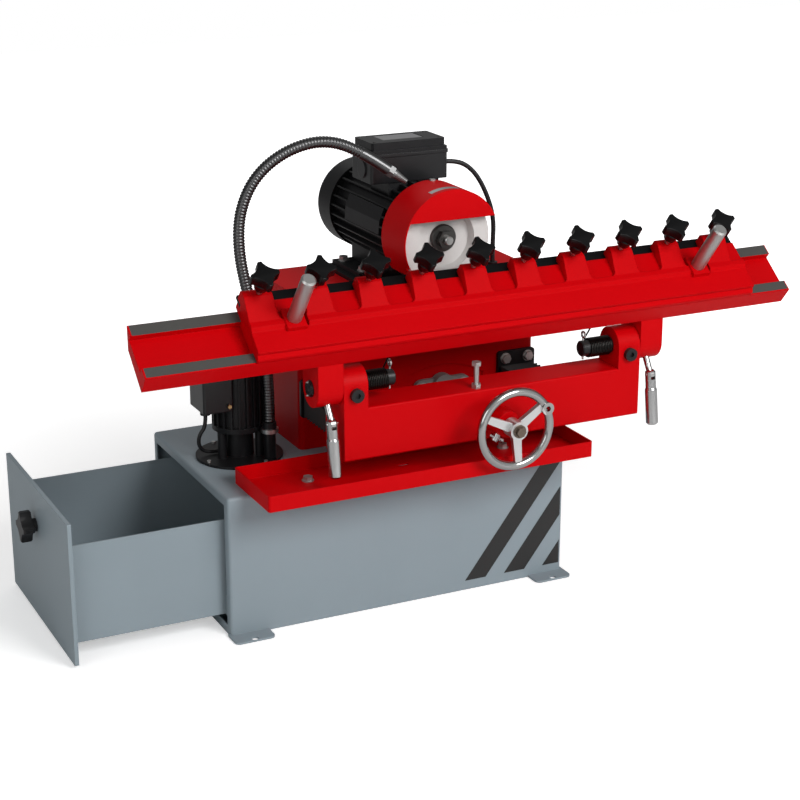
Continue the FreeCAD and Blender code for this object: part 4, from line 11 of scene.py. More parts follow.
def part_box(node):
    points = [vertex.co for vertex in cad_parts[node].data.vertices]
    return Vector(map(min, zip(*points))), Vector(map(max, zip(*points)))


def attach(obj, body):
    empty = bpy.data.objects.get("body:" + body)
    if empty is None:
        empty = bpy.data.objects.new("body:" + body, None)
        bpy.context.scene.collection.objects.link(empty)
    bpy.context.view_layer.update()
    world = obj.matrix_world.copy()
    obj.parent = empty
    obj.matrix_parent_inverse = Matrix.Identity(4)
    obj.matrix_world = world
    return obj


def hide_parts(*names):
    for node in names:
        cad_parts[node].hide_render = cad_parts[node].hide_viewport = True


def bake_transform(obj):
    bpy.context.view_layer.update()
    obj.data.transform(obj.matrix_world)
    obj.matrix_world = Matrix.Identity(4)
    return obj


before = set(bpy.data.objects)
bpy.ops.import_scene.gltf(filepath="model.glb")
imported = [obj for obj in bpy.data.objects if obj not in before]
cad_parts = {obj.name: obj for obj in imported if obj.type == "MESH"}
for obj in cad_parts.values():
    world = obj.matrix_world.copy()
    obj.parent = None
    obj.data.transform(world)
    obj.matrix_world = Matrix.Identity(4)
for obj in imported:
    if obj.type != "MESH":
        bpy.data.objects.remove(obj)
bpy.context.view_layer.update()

bl_info = {
    "name": "Planer Knife Grinder",
    "version": (1, 0, 0),
    "blender": (4, 5, 0),
    "location": "3D View > Sidebar > Grinder",
    "description": "Finishes, cords and small parts of a planer knife grinder",
    "category": "Object",
}

# Lengths are in metres and angles in degrees, where nothing else is said
FULL_TURN = math.tau
X_AXIS, Y_AXIS, Z_AXIS = Vector((1, 0, 0)), Vector((0, 1, 0)), Vector((0, 0, 1))

# Camera: its place, how far it looks down and aside, its lens in millimetres and its reach
CAMERA_PLACE = (-1.1338, -2.4809, 1.1847)
CAMERA_DOWN, CAMERA_ASIDE = 18.428, 25.967
CAMERA_LENS, CAMERA_REACH = 83.5, 50.0

# The cords' routes, as control points of their splines
HOSE_ROUTE = [(-0.162, -0.040, 0.278), (-0.162, -0.040, 0.322), (-0.165, -0.041, 0.372),
              (-0.175, -0.034, 0.426), (-0.187, -0.023, 0.482), (-0.194, -0.014, 0.540),
              (-0.189, -0.010, 0.596), (-0.164, -0.013, 0.646), (-0.118, -0.020, 0.680),
              (-0.064, -0.031, 0.693), (-0.014, -0.043, 0.676), (0.028, -0.057, 0.645)]
MOTOR_CABLE_ROUTE = [(0.162, 0.032, 0.630), (0.188, 0.032, 0.630), (0.216, 0.031, 0.613),
                     (0.238, 0.030, 0.578), (0.253, 0.029, 0.534), (0.251, 0.028, 0.490),
                     (0.251, 0.028, 0.463)]
PUMP_CABLE_ROUTE = [(-0.247, 0.004, 0.288), (-0.247, 0.004, 0.269), (-0.257, 0.008, 0.255),
                    (-0.257, 0.011, 0.237), (-0.244, 0.014, 0.224), (-0.225, 0.014, 0.224)]
CORD_STEPS = 16

# The cables as (name, node, route, length)
CABLES = (("motor_lead", "motor_cable", MOTOR_CABLE_ROUTE, 0.216),
          ("pump_lead", "pump_cable", PUMP_CABLE_ROUTE, 0.090))

# The hose, with each rib in four rings and a plain sleeve at its nozzle
HOSE_LENGTH, HOSE_SLEEVE, RIB_RINGS = 0.597, 0.046, 4

# The rail's own frame: up runs up its face and off leads off its face
RAIL_TILT = math.radians(38.4)
RAIL_ORIGIN = Vector((0, -0.2207225, 0.4306349))

# Clamp knobs on the rail: each one's turn, the star, and the stem as (radius, height) pairs
KNOB_TURNS = (-39, -55, -48, -51, -44, -39, -42, -38, -41, -40)
KNOB_FIRST_X, KNOB_SPACING, KNOB_UP = -0.226, 0.0837, 0.091
KNOB_STAR_LOW, KNOB_STAR_TOP = 0.0650, 0.0806
KNOB_SEGMENTS, KNOB_EDGE = 120, 0.0007
KNOB_SCOOP = 0.45
KNOB_PROFILE = ((0.0040, 0.0182), (0.0040, 0.0480), (0.0088, 0.0480), (0.0096, 0.0488),
                (0.0118, 0.0580), (0.0130, 0.0622), (0.0142, 0.0628), (0.0146, 0.0636),
                (0.0142, 0.0648), (0.0120, 0.0656))

# Torsion springs in the rail's frame: the pivot, and each coil's free end and boss end
PIVOT_UP, PIVOT_OFF = -0.0026, -0.0785
SHAFT_RADIUS, SPRING_CLEAR = 0.01225, 0.0004
SPRING_STEPS, WIRE_SEGMENTS = 20, 12
SPRING_LEG_TOP = -0.0303
SPRING_ENDS = ((-0.0335, -0.0701), (0.3055, 0.3421))

# Pivot shafts: their outer ends, each with a round cap and two tapered pins
PIVOT_Y, PIVOT_Z = -0.174, 0.3675
SHAFT_ENDS = (-0.1544, 0.4264)
CAP_PROFILE = ((0.0112, -0.0004), (0.0112, 0.0006), (0.0104, 0.0014), (0.0060, 0.0014),
               (0.0048, 0.0024), (0.0012, 0.0026))
PIN_LIFT, PIN_LENGTH, PIN_RADIUS, PIN_TIP = 0.0098, 0.0035, 0.0019, 0.0012

# Bellows: where they stand, and how wide each of a fold's four rings is
BELLOWS_XS, BELLOWS_Z = (-0.071, 0.268), 0.289
BELLOWS_BEAM_Y, BELLOWS_COLUMN_Y = -0.1357, -0.0250
FOLD_SHARES = (0.0, 0.55, 1.0, 0.55)

# Bands on the flat of the cabinet's front
CABINET_FRONT_Y, CABINET_FLAT_RIGHT_X, CABINET_FLAT_TOP_Z = -0.162, 0.2735, 0.2105
BAND_BOTTOM_Z, BAND_FIRST_X, BAND_PITCH, BAND_COUNT = 0.015, 0.107, 0.0685, 3

# Plates bent round the motor's axis: outer radius, Y from and to, start, sweep and steps
MOTOR_AXIS = Vector((0.0925, 0, 0.5467))
GUARD_PLATE = (0.0781, -0.1275, -0.1165, 78.0, 34.0, 12)
MOTOR_PAD = (0.0690, -0.030, 0.092, 150.0, 34.0, 2)
MOTOR_PAD_WALL = 0.0045

# The flat ring in the fan cover, from (radius, Y) pairs round the motor's axis
BAFFLE_PROFILE = ((0.0500, 0.1503), (0.0684, 0.1503), (0.0684, 0.1511), (0.0500, 0.1511))
BAFFLE_STEPS = 64

# The terminal lid's plate between two corners, and its screws; the screw of the pump's box
LID_PLATE = ((0.0512, 0.0092, 0.6750), (0.1168, 0.0448, 0.6757))
LID_TOP, LID_SCREW_XS, LID_SCREW_YS = 0.6760, (0.0300, 0.1380), (-0.0045, 0.0465)
LID_SCREW_HEAD, LID_SCREW_RADIUS, LID_SCREW_TAPER = 0.0009, 0.0027, 0.8
PUMP_SCREW_FOOT, PUMP_SCREW_HEAD, PUMP_SCREW_RADIUS = (-0.223, -0.0350, 0.309), 0.003, 0.003

# Where one finish of a node gives way to another: bounds along an axis, or a limit
WAY_TOP = -0.0002
WAY_FRONT, WAY_BACK, WAY_ENDS = (0.0022, 0.0178), (0.0724, 0.0900), (-0.4075, 0.6435)
STUD_TOP = 0.0479
PIPE_RING_ZS, STOP_BOLT_XS = (0.2619, 0.2681), (0.09, 0.13)
RIM_SHARE = 0.80
PIN_INSIDE = 0.0124
# How far a face must look up to take the lid's painted sheen
UPWARD = 0.7

# Edges sharper than these stay sharp when a piece is shaded smooth
SHARP, SHARP_ON_SPRING, SHARP_ON_HOSE = 35, 60, 80

# Studio: lamps as (name, place, width, power), the floor's glow and the surround's levels
LAMP_AIM = (0.1, -0.1, 0.35)
LAMPS = (("key_lamp", (0.9, -2.9, 2.2), 1.5, 88.0),
         ("left_lamp", (-2.6, -1.6, 1.5), 1.6, 18.0),
         ("back_lamp", (0.4, 1.6, 2.4), 1.4, 7.0))
FLOOR_SIZE, FLOOR_DROP = 6.0, 0.0005
FLOOR_COLOUR, FLOOR_ROUGHNESS = (0.86, 0.86, 0.86, 1), 0.7
FLOOR_NEAR, FLOOR_FAR, FLOOR_NEAR_GLOW, FLOOR_FAR_GLOW = 0.6, 2.0, 0.45, 1.1
WHITE = (1, 1, 1, 1)
AMBIENT = 0.30
MIRROR_LOW, MIRROR_FRONT, MIRROR_TOWARD = 0.18, 0.62, (0.25, -0.95, 0.1)


def metres(label, about, value, low, high):
    """A length that the panel shows."""
    return FloatProperty(name=label, description=about, default=value, min=low, max=high,
                         subtype="DISTANCE", unit="LENGTH")


def swatch(label, pieces, rgb):
    """The colour of some pieces, which the panel shows."""
    return FloatVectorProperty(name=label, description="Colour of " + pieces, default=(*rgb, 1),
                               min=0, max=1, subtype="COLOR", size=4)


class GrinderSizes(bpy.types.PropertyGroup):
    """Sizes of the dressed pieces."""
    hose_diameter: metres("Hose diameter", "Outside diameter of the hose", 0.0176, 0.008, 0.03)
    hose_pitch: metres("Hose rib pitch", "Distance from rib to rib", 0.0046, 0.002, 0.01)
    hose_rib: metres("Hose rib height", "Height of a rib over its groove", 0.0011, 0.0003, 0.002)
    motor_cable_diameter: metres("Motor cable diameter", "Outside diameter of the motor's cable",
                                 0.0074, 0.004, 0.012)
    pump_cable_diameter: metres("Pump cable diameter", "Outside diameter of the pump's cable",
                                0.006, 0.004, 0.01)
    bellows_folds: IntProperty(name="Bellows folds", description="Number of folds of a bellows",
                               default=11, min=4, max=30)
    bellows_width: metres("Bellows width", "Width across a bellows", 0.060, 0.03, 0.08)
    bellows_height: metres("Bellows height", "Height of a bellows", 0.036, 0.02, 0.06)
    bellows_depth: metres("Fold depth", "Depth of one fold of a bellows", 0.005, 0.002, 0.01)
    band_width: metres("Band width", "Width of a painted band along the cabinet's front",
                       0.036, 0.01, 0.06)
    band_slope: FloatProperty(name="Band slope", description="Lean of a band for its height",
                              default=0.76, min=0.0, max=2.0)
    knob_radius: metres("Knob radius", "From a clamp knob's axis to the tip of a lobe",
                        0.0213, 0.015, 0.03)
    knob_hollow: FloatProperty(name="Knob hollow", default=0.375, min=0.1, max=0.6,
                               description="How far its sides curve in, as a share of its radius")
    spring_wire: metres("Spring wire radius", "Radius of the wire of the torsion springs",
                        0.0013, 0.0008, 0.0016)
    spring_turns: IntProperty(name="Spring turns", description="Number of turns of a spring",
                              default=13, min=4, max=14)
    film: metres("Film thickness", "Thickness of a painted band or a thin plate",
                 0.0002, 0.0001, 0.001)


class GrinderColours(bpy.types.PropertyGroup):
    """Colours of the finishes."""
    red: swatch("Red enamel", "the castings and the tray", (0.52, 0.0, 0.002))
    grey: swatch("Cabinet grey", "the cabinet and the drawer", (0.235, 0.285, 0.315))
    black_enamel: swatch("Black enamel", "the motor's castings", (0.0065, 0.0065, 0.0075))
    black_plastic: swatch("Black plastic", "the knobs and boxes", (0.0045, 0.0045, 0.0055))
    ground_steel: swatch("Ground steel", "the ground ways", (0.098, 0.095, 0.09))
    zinc: swatch("Zinc", "the zinc-plated fasteners", (0.46, 0.46, 0.45))
    chrome: swatch("Chrome", "the levers", (0.46, 0.46, 0.46))
    aluminium: swatch("Aluminium", "the handwheel", (0.62, 0.62, 0.62))
    # The rim's colour is darker than the aluminium: painted shade in place of the dark surroundings
    # that its polish reflects
    rim: swatch("Polished rim", "the handwheel's rim", (0.36, 0.36, 0.355))
    steel: swatch("Turned steel", "shafts, bars and the push handles", (0.45, 0.45, 0.44))
    abrasive: swatch("Abrasive", "the grinding wheel", (0.64, 0.625, 0.61))
    rubber: swatch("Rubber", "the bellows and cables", (0.011, 0.011, 0.012))
    plate: swatch("Bare plate", "the plate on the guard", (0.42, 0.42, 0.42))


def sizes():
    """The sizes that the panel holds."""
    return bpy.context.scene.grinder_sizes


def colour_of(colour):
    """A colour's four values, from its name among the panel's colours or from its own three."""
    if isinstance(colour, str):
        return tuple(getattr(bpy.context.scene.grinder_colours, colour))
    return (*colour, 1)


# Node building

def feed(tree, node, inputs):
    """Sets a node's inputs to values, or links sockets to them."""
    for name, value in inputs.items():
        if isinstance(value, bpy.types.NodeSocket):
            tree.links.new(value, node.inputs[name])
        else:
            node.inputs[name].default_value = value


def put(tree, kind, inputs=None, **settings):
    """A node with its settings and the values or links of its inputs."""
    node = tree.nodes.new(kind)
    for name, value in settings.items():
        setattr(node, name, value)
    feed(tree, node, inputs or {})
    return node


def placed(tree, group_name, place, **inputs):
    """The outputs of a shared group at a place."""
    return put(tree, "ShaderNodeGroup", {"Vector": place, **inputs},
               node_tree=bpy.data.node_groups[group_name]).outputs


def calculate(tree, operation, *values):
    """A Math node's result."""
    return put(tree, "ShaderNodeMath", dict(enumerate(values)), operation=operation).outputs[0]


def combine(tree, operation, *values):
    """A Vector Math node's outputs."""
    return put(tree, "ShaderNodeVectorMath", dict(enumerate(values)), operation=operation).outputs


def mix(tree, kind, factor, first, second):
    """A Mix node's result, for colours (RGBA) or plain values (FLOAT)."""
    return put(tree, "ShaderNodeMix", {"Factor": factor, "A": first, "B": second},
               data_type=kind).outputs["Result"]


def noise(tree, place, scale, detail, roughness=0.5):
    """A Noise Texture's value."""
    return put(tree, "ShaderNodeTexNoise", {"Vector": place, "Scale": scale, "Detail": detail,
                                            "Roughness": roughness}).outputs["Fac"]


def coordinate(tree, vector, axis):
    """One coordinate of a vector."""
    return put(tree, "ShaderNodeSeparateXYZ", {"Vector": vector}).outputs[axis]


def upward_share(tree):
    """How far a face looks up: 1 where it lies level."""
    return coordinate(tree, put(tree, "ShaderNodeNewGeometry").outputs["Normal"], "Z")


def reach_from(tree, place, centre, across):
    """A place's distance from an axis through a centre, with across 0 along it and 1 off it."""
    away = combine(tree, "SUBTRACT", place, centre)["Vector"]
    flat = combine(tree, "MULTIPLY", away, across)["Vector"]
    return combine(tree, "LENGTH", flat)["Value"]


def between(tree, value, bounds):
    """1 where a value lies between two bounds."""
    return calculate(tree, "MULTIPLY", calculate(tree, "GREATER_THAN", value, bounds[0]),
                     calculate(tree, "LESS_THAN", value, bounds[1]))


def new_group(name, inputs, outputs):
    """A shader node group with named sockets: its tree, what it is given and its output node."""
    tree = bpy.data.node_groups.new(name, "ShaderNodeTree")
    for label, kind, *default in inputs:
        socket = tree.interface.new_socket(label, in_out="INPUT", socket_type="NodeSocket" + kind)
        if default:
            socket.default_value = default[0]
    for label, kind in outputs:
        tree.interface.new_socket(label, in_out="OUTPUT", socket_type="NodeSocket" + kind)
    return tree, tree.nodes.new("NodeGroupInput").outputs, tree.nodes.new("NodeGroupOutput")


# What a group of a whole surface puts out, and a stretch that changes nothing
SURFACE = (("Colour", "Color"), ("Roughness", "Float"), ("Height", "Float"))
EVEN = (1.0, 1.0, 1.0)


def put_out_surface(tree, given, made, cloud, height):
    """Puts out a group's colour and roughness, both moved by a cloud, and its height."""
    swing = calculate(tree, "MULTIPLY", calculate(tree, "SUBTRACT", cloud, 0.5), given["Variation"])
    tint = put(tree, "ShaderNodeHueSaturation", {"Color": given["Colour"],
                                                 "Value": calculate(tree, "ADD", 1.0, swing)})
    feed(tree, made, {"Colour": tint.outputs["Color"], "Height": height,
                      "Roughness": calculate(tree, "ADD", given["Roughness"], swing)})


def paint_film_group():
    """Orange peel and slow gloss changes of a sprayed enamel."""
    tree, given, made = new_group(
        "Paint Film",
        [("Vector", "Vector"), ("Colour", "Color", (0.5, 0.5, 0.5, 1)), ("Scale", "Float", 260.0),
         ("Roughness", "Float", 0.3), ("Variation", "Float", 0.08)], SURFACE)
    peel = noise(tree, given["Vector"], given["Scale"], detail=2.0, roughness=0.45)
    cloud = noise(tree, given["Vector"], scale=9.0, detail=4.0, roughness=0.6)
    put_out_surface(tree, given, made, cloud, peel)


def metal_lines_group():
    """Fine tool lines that a lathe or a grinder leaves, stretched by the vector's scale."""
    tree, given, made = new_group(
        "Metal Lines",
        [("Vector", "Vector"), ("Colour", "Color", (0.5, 0.5, 0.5, 1)), ("Stretch", "Vector", EVEN),
         ("Scale", "Float", 400.0), ("Roughness", "Float", 0.3), ("Variation", "Float", 0.15)],
        SURFACE)
    pulled = combine(tree, "MULTIPLY", given["Vector"], given["Stretch"])["Vector"]
    lines = noise(tree, pulled, given["Scale"], detail=5.0, roughness=0.7)
    smear = noise(tree, given["Vector"], scale=22.0, detail=5.0, roughness=0.65)
    cloud = calculate(tree, "ADD", calculate(tree, "MULTIPLY", lines, 0.5),
                      calculate(tree, "MULTIPLY", smear, 0.5))
    put_out_surface(tree, given, made, cloud, lines)


def settled_dust_group():
    """A thin veil of dust on faces that look up."""
    tree, given, made = new_group(
        "Settled Dust",
        [("Vector", "Vector"), ("Colour", "Color", (0.5, 0.5, 0.5, 1)),
         ("Dust", "Color", (0.30, 0.29, 0.27, 1)), ("Amount", "Float", 0.1)],
        [("Colour", "Color")])
    cloud = noise(tree, given["Vector"], scale=30.0, detail=6.0, roughness=0.7)
    veil = calculate(tree, "MULTIPLY", calculate(tree, "MAXIMUM", upward_share(tree), 0.0), cloud)
    amount = calculate(tree, "MULTIPLY", veil, given["Amount"])
    feed(tree, made, {"Colour": mix(tree, "RGBA", amount, given["Colour"], given["Dust"])})


def rail_directions():
    """The unit vectors up the rail's face and off it."""
    return (Vector((0, math.cos(RAIL_TILT), math.sin(RAIL_TILT))),
            Vector((0, -math.sin(RAIL_TILT), math.cos(RAIL_TILT))))


def rail_frame_group():
    """A place's distances up the rail's face, off it and along it, in metres."""
    tree, given, made = new_group("Rail Frame", [("Vector", "Vector")],
                                  [("Up", "Float"), ("Off", "Float"), ("Along", "Float")])
    place = combine(tree, "SUBTRACT", given["Vector"], RAIL_ORIGIN)["Vector"]
    for label, direction in zip(("Up", "Off", "Along"), (*rail_directions(), X_AXIS)):
        feed(tree, made, {label: combine(tree, "DOT_PRODUCT", place, direction)["Value"]})


# Masks, each 1 on the second finish of its material

def way_mask(tree, place):
    """The ground tops of the two ways, inside a painted margin."""
    rail = placed(tree, "Rail Frame", place)
    top = calculate(tree, "GREATER_THAN", rail["Off"], WAY_TOP)
    ends = between(tree, rail["Along"], WAY_ENDS)
    front, back = (between(tree, rail["Up"], bounds) for bounds in (WAY_FRONT, WAY_BACK))
    ways = calculate(tree, "ADD", front, back)
    return calculate(tree, "MULTIPLY", calculate(tree, "MULTIPLY", top, ends), ways)


def stud_mask(tree, place):
    """The bare stud below a knob's collar."""
    rail = placed(tree, "Rail Frame", place)
    return calculate(tree, "LESS_THAN", rail["Off"], STUD_TOP)


def ring_mask(tree, place):
    """The plated ring round the pipe."""
    return between(tree, coordinate(tree, place, "Z"), PIPE_RING_ZS)


def stop_bolt_mask(tree, place):
    """The stop bolt, in the middle of the beam."""
    return between(tree, coordinate(tree, place, "X"), STOP_BOLT_XS)


def painted_dark_rim_mask(tree, place):
    """The polished rim of the handwheel, whose colour is painted darker as a stand-in for the dark
    reflections it shows.
    """
    low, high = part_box("handwheel")
    reach = reach_from(tree, place, (Vector(low) + Vector(high)) / 2, (1.0, 0.0, 1.0))
    return calculate(tree, "GREATER_THAN", reach, (high[0] - low[0]) / 2 * RIM_SHARE)


def upward_sheen_mask(tree, place):
    """The faces that look up, where the lid is painted lighter as a sheen in place of the
    surround's reflection.
    """
    return calculate(tree, "GREATER_THAN", upward_share(tree), UPWARD)


def pin_mask(tree, place):
    """The split pins outside the shafts."""
    reach = reach_from(tree, place, (0.0, PIVOT_Y, PIVOT_Z), (0.0, 1.0, 1.0))
    return calculate(tree, "GREATER_THAN", reach, PIN_INSIDE)


# Materials

def blank_material(name):
    """A material with its Principled shader and the object coordinates."""
    material = bpy.data.materials.new(name)
    material.use_nodes = True
    tree = material.node_tree
    return (material, tree, tree.nodes["Principled BSDF"],
            put(tree, "ShaderNodeTexCoord").outputs["Object"])


def add_bump(tree, shader, height, distance, edge=0.0):
    """The bump of a surface, over edges that look rounded by a radius."""
    bump = put(tree, "ShaderNodeBump", {"Height": height, "Distance": distance})
    if edge:
        soft = put(tree, "ShaderNodeBevel", {"Radius": edge}, samples=4)
        feed(tree, bump, {"Normal": soft.outputs["Normal"]})
    feed(tree, shader, {"Normal": bump.outputs["Normal"]})


def coated(name, colour, roughness, peel_scale, peel_depth, dust, specular=0.5, edge=0.0,
           variation=0.08):
    """A paint, plastic or rubber: its film, orange peel or grain, and a little dust on top."""
    material, tree, shader, place = blank_material(name)
    film = placed(tree, "Paint Film", place, Colour=colour_of(colour), Scale=peel_scale,
                  Roughness=roughness, Variation=variation)
    dusty = placed(tree, "Settled Dust", place, Colour=film["Colour"], Amount=dust)
    feed(tree, shader, {"Base Color": dusty["Colour"], "Roughness": film["Roughness"],
                        "Specular IOR Level": specular})
    add_bump(tree, shader, film["Height"], peel_depth, edge)
    return material


def metal(name, colour, roughness, scale, depth=0.00002, stretch=EVEN, variation=0.15):
    """A bare metal with its tool lines."""
    material, tree, shader, place = blank_material(name)
    lines = placed(tree, "Metal Lines", place, Colour=colour_of(colour), Stretch=stretch,
                   Scale=scale, Roughness=roughness, Variation=variation)
    feed(tree, shader, {"Base Color": lines["Colour"], "Roughness": lines["Roughness"],
                        "Metallic": 1.0})
    add_bump(tree, shader, lines["Height"], depth)
    return material


def two_finishes(name, build_mask, first, second, peel_scale=300.0, peel_depth=0.00002, dust=0.1,
                 specular=0.3, edge=0.0):
    """A material of two finishes, parted by a mask."""
    material, tree, shader, place = blank_material(name)
    mask = build_mask(tree, place)
    film = placed(tree, "Paint Film", place, Colour=colour_of(first[0]), Scale=peel_scale,
                  Roughness=first[1])
    lines = placed(tree, "Metal Lines", place, Colour=colour_of(second[0]), Scale=600.0,
                   Roughness=second[1])
    dusty = placed(tree, "Settled Dust", place, Colour=film["Colour"], Amount=dust)
    feed(tree, shader, {
        "Base Color": mix(tree, "RGBA", mask, dusty["Colour"], lines["Colour"]),
        "Roughness": mix(tree, "FLOAT", mask, film["Roughness"], lines["Roughness"]),
        "Metallic": mix(tree, "FLOAT", mask, first[2], second[2]),
        "Specular IOR Level": specular})
    add_bump(tree, shader, film["Height"], peel_depth, edge)
    return material


def bonded_grit(name, colour, scale=1400.0, depth=0.0001, roughness=0.9, joint=0.93, grain=0.10,
                patch=0.04):
    """Grit whose grains are lighter than their joints, in faint patches."""
    material, tree, shader, place = blank_material(name)
    grit = put(tree, "ShaderNodeTexVoronoi", {"Vector": place, "Scale": scale}).outputs["Distance"]
    cloud = noise(tree, place, scale=40.0, detail=5.0)
    shade = calculate(tree, "ADD", joint, calculate(tree, "MULTIPLY", grit, grain))
    shade = calculate(tree, "ADD", shade, calculate(tree, "MULTIPLY", cloud, patch))
    tint = put(tree, "ShaderNodeHueSaturation", {"Color": colour_of(colour), "Value": shade})
    feed(tree, shader, {"Base Color": tint.outputs["Color"], "Roughness": roughness})
    add_bump(tree, shader, grit, depth)
    return material


# Finishes by name. A colour is one of the panel's by its name, or its own three values.

# Material, colour, roughness, peel scale, peel depth, dust, specular, softened edge, variation
COATED = {
    "red": ("red_enamel", "red", 0.44, 240.0, 0.00005, 0.0, 0.06, 0.0012),
    "red_cast": ("red_enamel_on_casting", "red", 0.52, 110.0, 0.00025, 0.0, 0.04, 0.0025),
    "grey": ("grey_enamel", "grey", 0.45, 320.0, 0.00004, 0.02, 0.35, 0.0012),
    "black": ("black_enamel", "black_enamel", 0.42, 200.0, 0.00006, 0.01, 0.25, 0.001),
    "black_cast": ("black_enamel_on_casting", "black_enamel", 0.48, 150.0, 0.0002, 0.01, 0.3,
                   0.001),
    "bar": ("black_bar", (0.003, 0.003, 0.0035), 0.5, 200.0, 0.00004, 0.0, 0.1),
    "lid_plate": ("bare_lid_plate", (0.24, 0.24, 0.245), 0.38, 300.0, 0.00003, 0.02),
    "nut": ("grey_cast_iron", (0.20, 0.20, 0.195), 0.55, 300.0, 0.0001, 0.03),
    "band": ("band_paint", (0.009, 0.009, 0.009), 0.45, 320.0, 0.00003, 0.01),
    "plastic": ("black_plastic", "black_plastic", 0.42, 900.0, 0.00003, 0.05, 0.4, 0.001, 0.1),
    "smooth_plastic": ("black_smooth_plastic", "black_plastic", 0.34, 400.0, 0.00002, 0.05, 0.4,
                       0.0015, 0.1),
    "rubber": ("black_rubber", "rubber", 0.50, 700.0, 0.00004, 0.05, 0.4, 0.0, 0.1),
    "cable": ("cable_sheath", "rubber", 0.40, 500.0, 0.00002, 0.05, 0.4, 0.0, 0.1),
}

# Material, colour, roughness, line scale, line depth, stretch, variation
METALS = {
    "zinc": ("zinc_plate", "zinc", 0.50, 500.0),
    "chrome": ("chrome_plate", "chrome", 0.24, 300.0, 0.00001, EVEN, 0.08),
    "steel": ("turned_steel", "steel", 0.34, 700.0),
    "handle": ("turned_handle", "steel", 0.42, 500.0, 0.00003, (0.6, 0.6, 3.0)),
    "plate": ("bare_plate", "plate", 0.45, 300.0, 0.00002, (0.2, 2.0, 2.0)),
    "nozzle": ("nozzle_steel", (0.17, 0.17, 0.17), 0.46, 700.0),
    "brass": ("brass", (0.55, 0.42, 0.20), 0.35, 500.0),
    "hose": ("hose_steel", (0.095, 0.095, 0.096), 0.32, 900.0, 0.00003),
    "dark_steel": ("dark_steel", (0.075, 0.073, 0.070), 0.42, 500.0),
    "spring": ("spring_steel", (0.022, 0.021, 0.020), 0.36, 500.0),
    # A darkened, brownish steel: painted shade of the handwheel hub's bore, where the feed screw's
    # end shows
    "worn_steel": ("worn_steel", (0.16, 0.125, 0.10), 0.50, 500.0),
}

# Material, mask, both finishes as (colour, roughness, metallic), then peel scale, peel depth, dust,
# specular, softened edge
PARTED = {
    "rail": ("red_rail_with_ground_ways", way_mask, ("red", 0.44, 0.0), ("ground_steel", 0.55, 0.6),
             300.0, 0.00002, 0.0, 0.06, 0.0012),
    "knob": ("black_knob_on_stud", stud_mask, ((0.002, 0.002, 0.0023), 0.30, 0.0),
             ("zinc", 0.35, 1.0), 700.0, 0.00002, 0.0, 0.2),
    # The lid's upward faces are painted a lighter grey: a painted sheen in place of the surround's
    # reflection
    "lid": ("satin_topped_lid", upward_sheen_mask, ("black_plastic", 0.34, 0.0),
            ((0.030, 0.030, 0.031), 0.40, 0.0), 400.0, 0.00002, 0.02),
    # The rim is smoother than the satin wheel, and its darker colour is a painted reflection of
    # dark surroundings
    "aluminium": ("satin_wheel_with_polished_rim", painted_dark_rim_mask, ("aluminium", 0.36, 1.0),
                  ("rim", 0.16, 1.0), 260.0, 0.00003),
    "pipe": ("black_pipe_with_ring", ring_mask, ("black_enamel", 0.35, 0.0), ("zinc", 0.35, 1.0)),
    "beam_bolts": ("black_screws_and_stop", stop_bolt_mask, ("black_enamel", 0.35, 0.0),
                   ("zinc", 0.40, 1.0)),
    "shafts": ("black_shafts_with_pins", pin_mask, ("black_enamel", 0.35, 0.0),
               ("zinc", 0.35, 1.0)),
}

# Material and colour
GRITS = {"abrasive": ("bonded_grit", "abrasive")}

FINISH_OF_NODE = {
    "red": ("drip_tray", "column_body", "crossbeam", "feed_bearing", "wheel_guard"),
    "red_cast": ("carriage_base", "clamp_plate"),
    "rail": ("knife_rail",),
    "grey": ("cabinet_shell", "drawer_box", "drawer_front"),
    "black": ("motor_plate", "fan_cover", "pump_motor", "pump_body"),
    "bar": ("clamp_bar",),
    "black_cast": ("motor_housing", "front_end_shield", "way_plates"),
    "plastic": ("drawer_knob", "cable_glands"),
    "nut": ("feed_nut",),
    "smooth_plastic": ("terminal_box", "pump_terminal_box", "cooling_fan"),
    "lid": ("terminal_lid",),
    "zinc": ("base_fasteners",),
    "beam_bolts": ("beam_fasteners",),
    "shafts": ("pivot_shafts",),
    "pipe": ("coolant_pipe",),
    "chrome": ("lever_screw_left", "lever_screw_right", "lever_handle_left", "lever_handle_right",
               "lock_screw"),
    "aluminium": ("handwheel",),
    "steel": ("guide_bars", "rotor_shaft", "spindle_bearings"),
    "nozzle": ("hose_nozzle",),
    "handle": ("push_handles",),
    "dark_steel": ("wheel_flanges", "spindle_nut"),
    # The feed screw's end is painted dark, as shade in the hub's bore
    "worn_steel": ("feed_screw",),
    "abrasive": ("cup_wheel",),
}

# The built materials, each by its finish
FINISHES = {}


# Piece building

def add_object(name, data):
    """An object of some data, linked to the scene."""
    made = bpy.data.objects.new(name, data)
    bpy.context.scene.collection.objects.link(made)
    return made


def finish_piece(maker, name, finish, body):
    """An object from a bmesh that has a finish and rides on a body, if one is named."""
    mesh = bpy.data.meshes.new(name)
    bmesh.ops.recalc_face_normals(maker, faces=maker.faces)
    maker.to_mesh(mesh)
    maker.free()
    piece = add_object(name, mesh)
    mesh.materials.append(FINISHES[finish])
    if body:
        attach(piece, body)
    return piece


def smooth_faces(piece, sharp=SHARP):
    """Shades a piece smooth, with edges sharper than an angle kept."""
    for polygon in piece.data.polygons:
        polygon.use_smooth = True
    piece.data.set_sharp_from_angle(angle=math.radians(sharp))


def only(kind, items):
    """The corners or the edges among what an operator has made."""
    return [item for item in items if isinstance(item, kind)]


def around(corners, links):
    """The edges or the faces that meet some corners, each once and in order."""
    return list(dict.fromkeys(item for corner in corners for item in getattr(corner, links)))


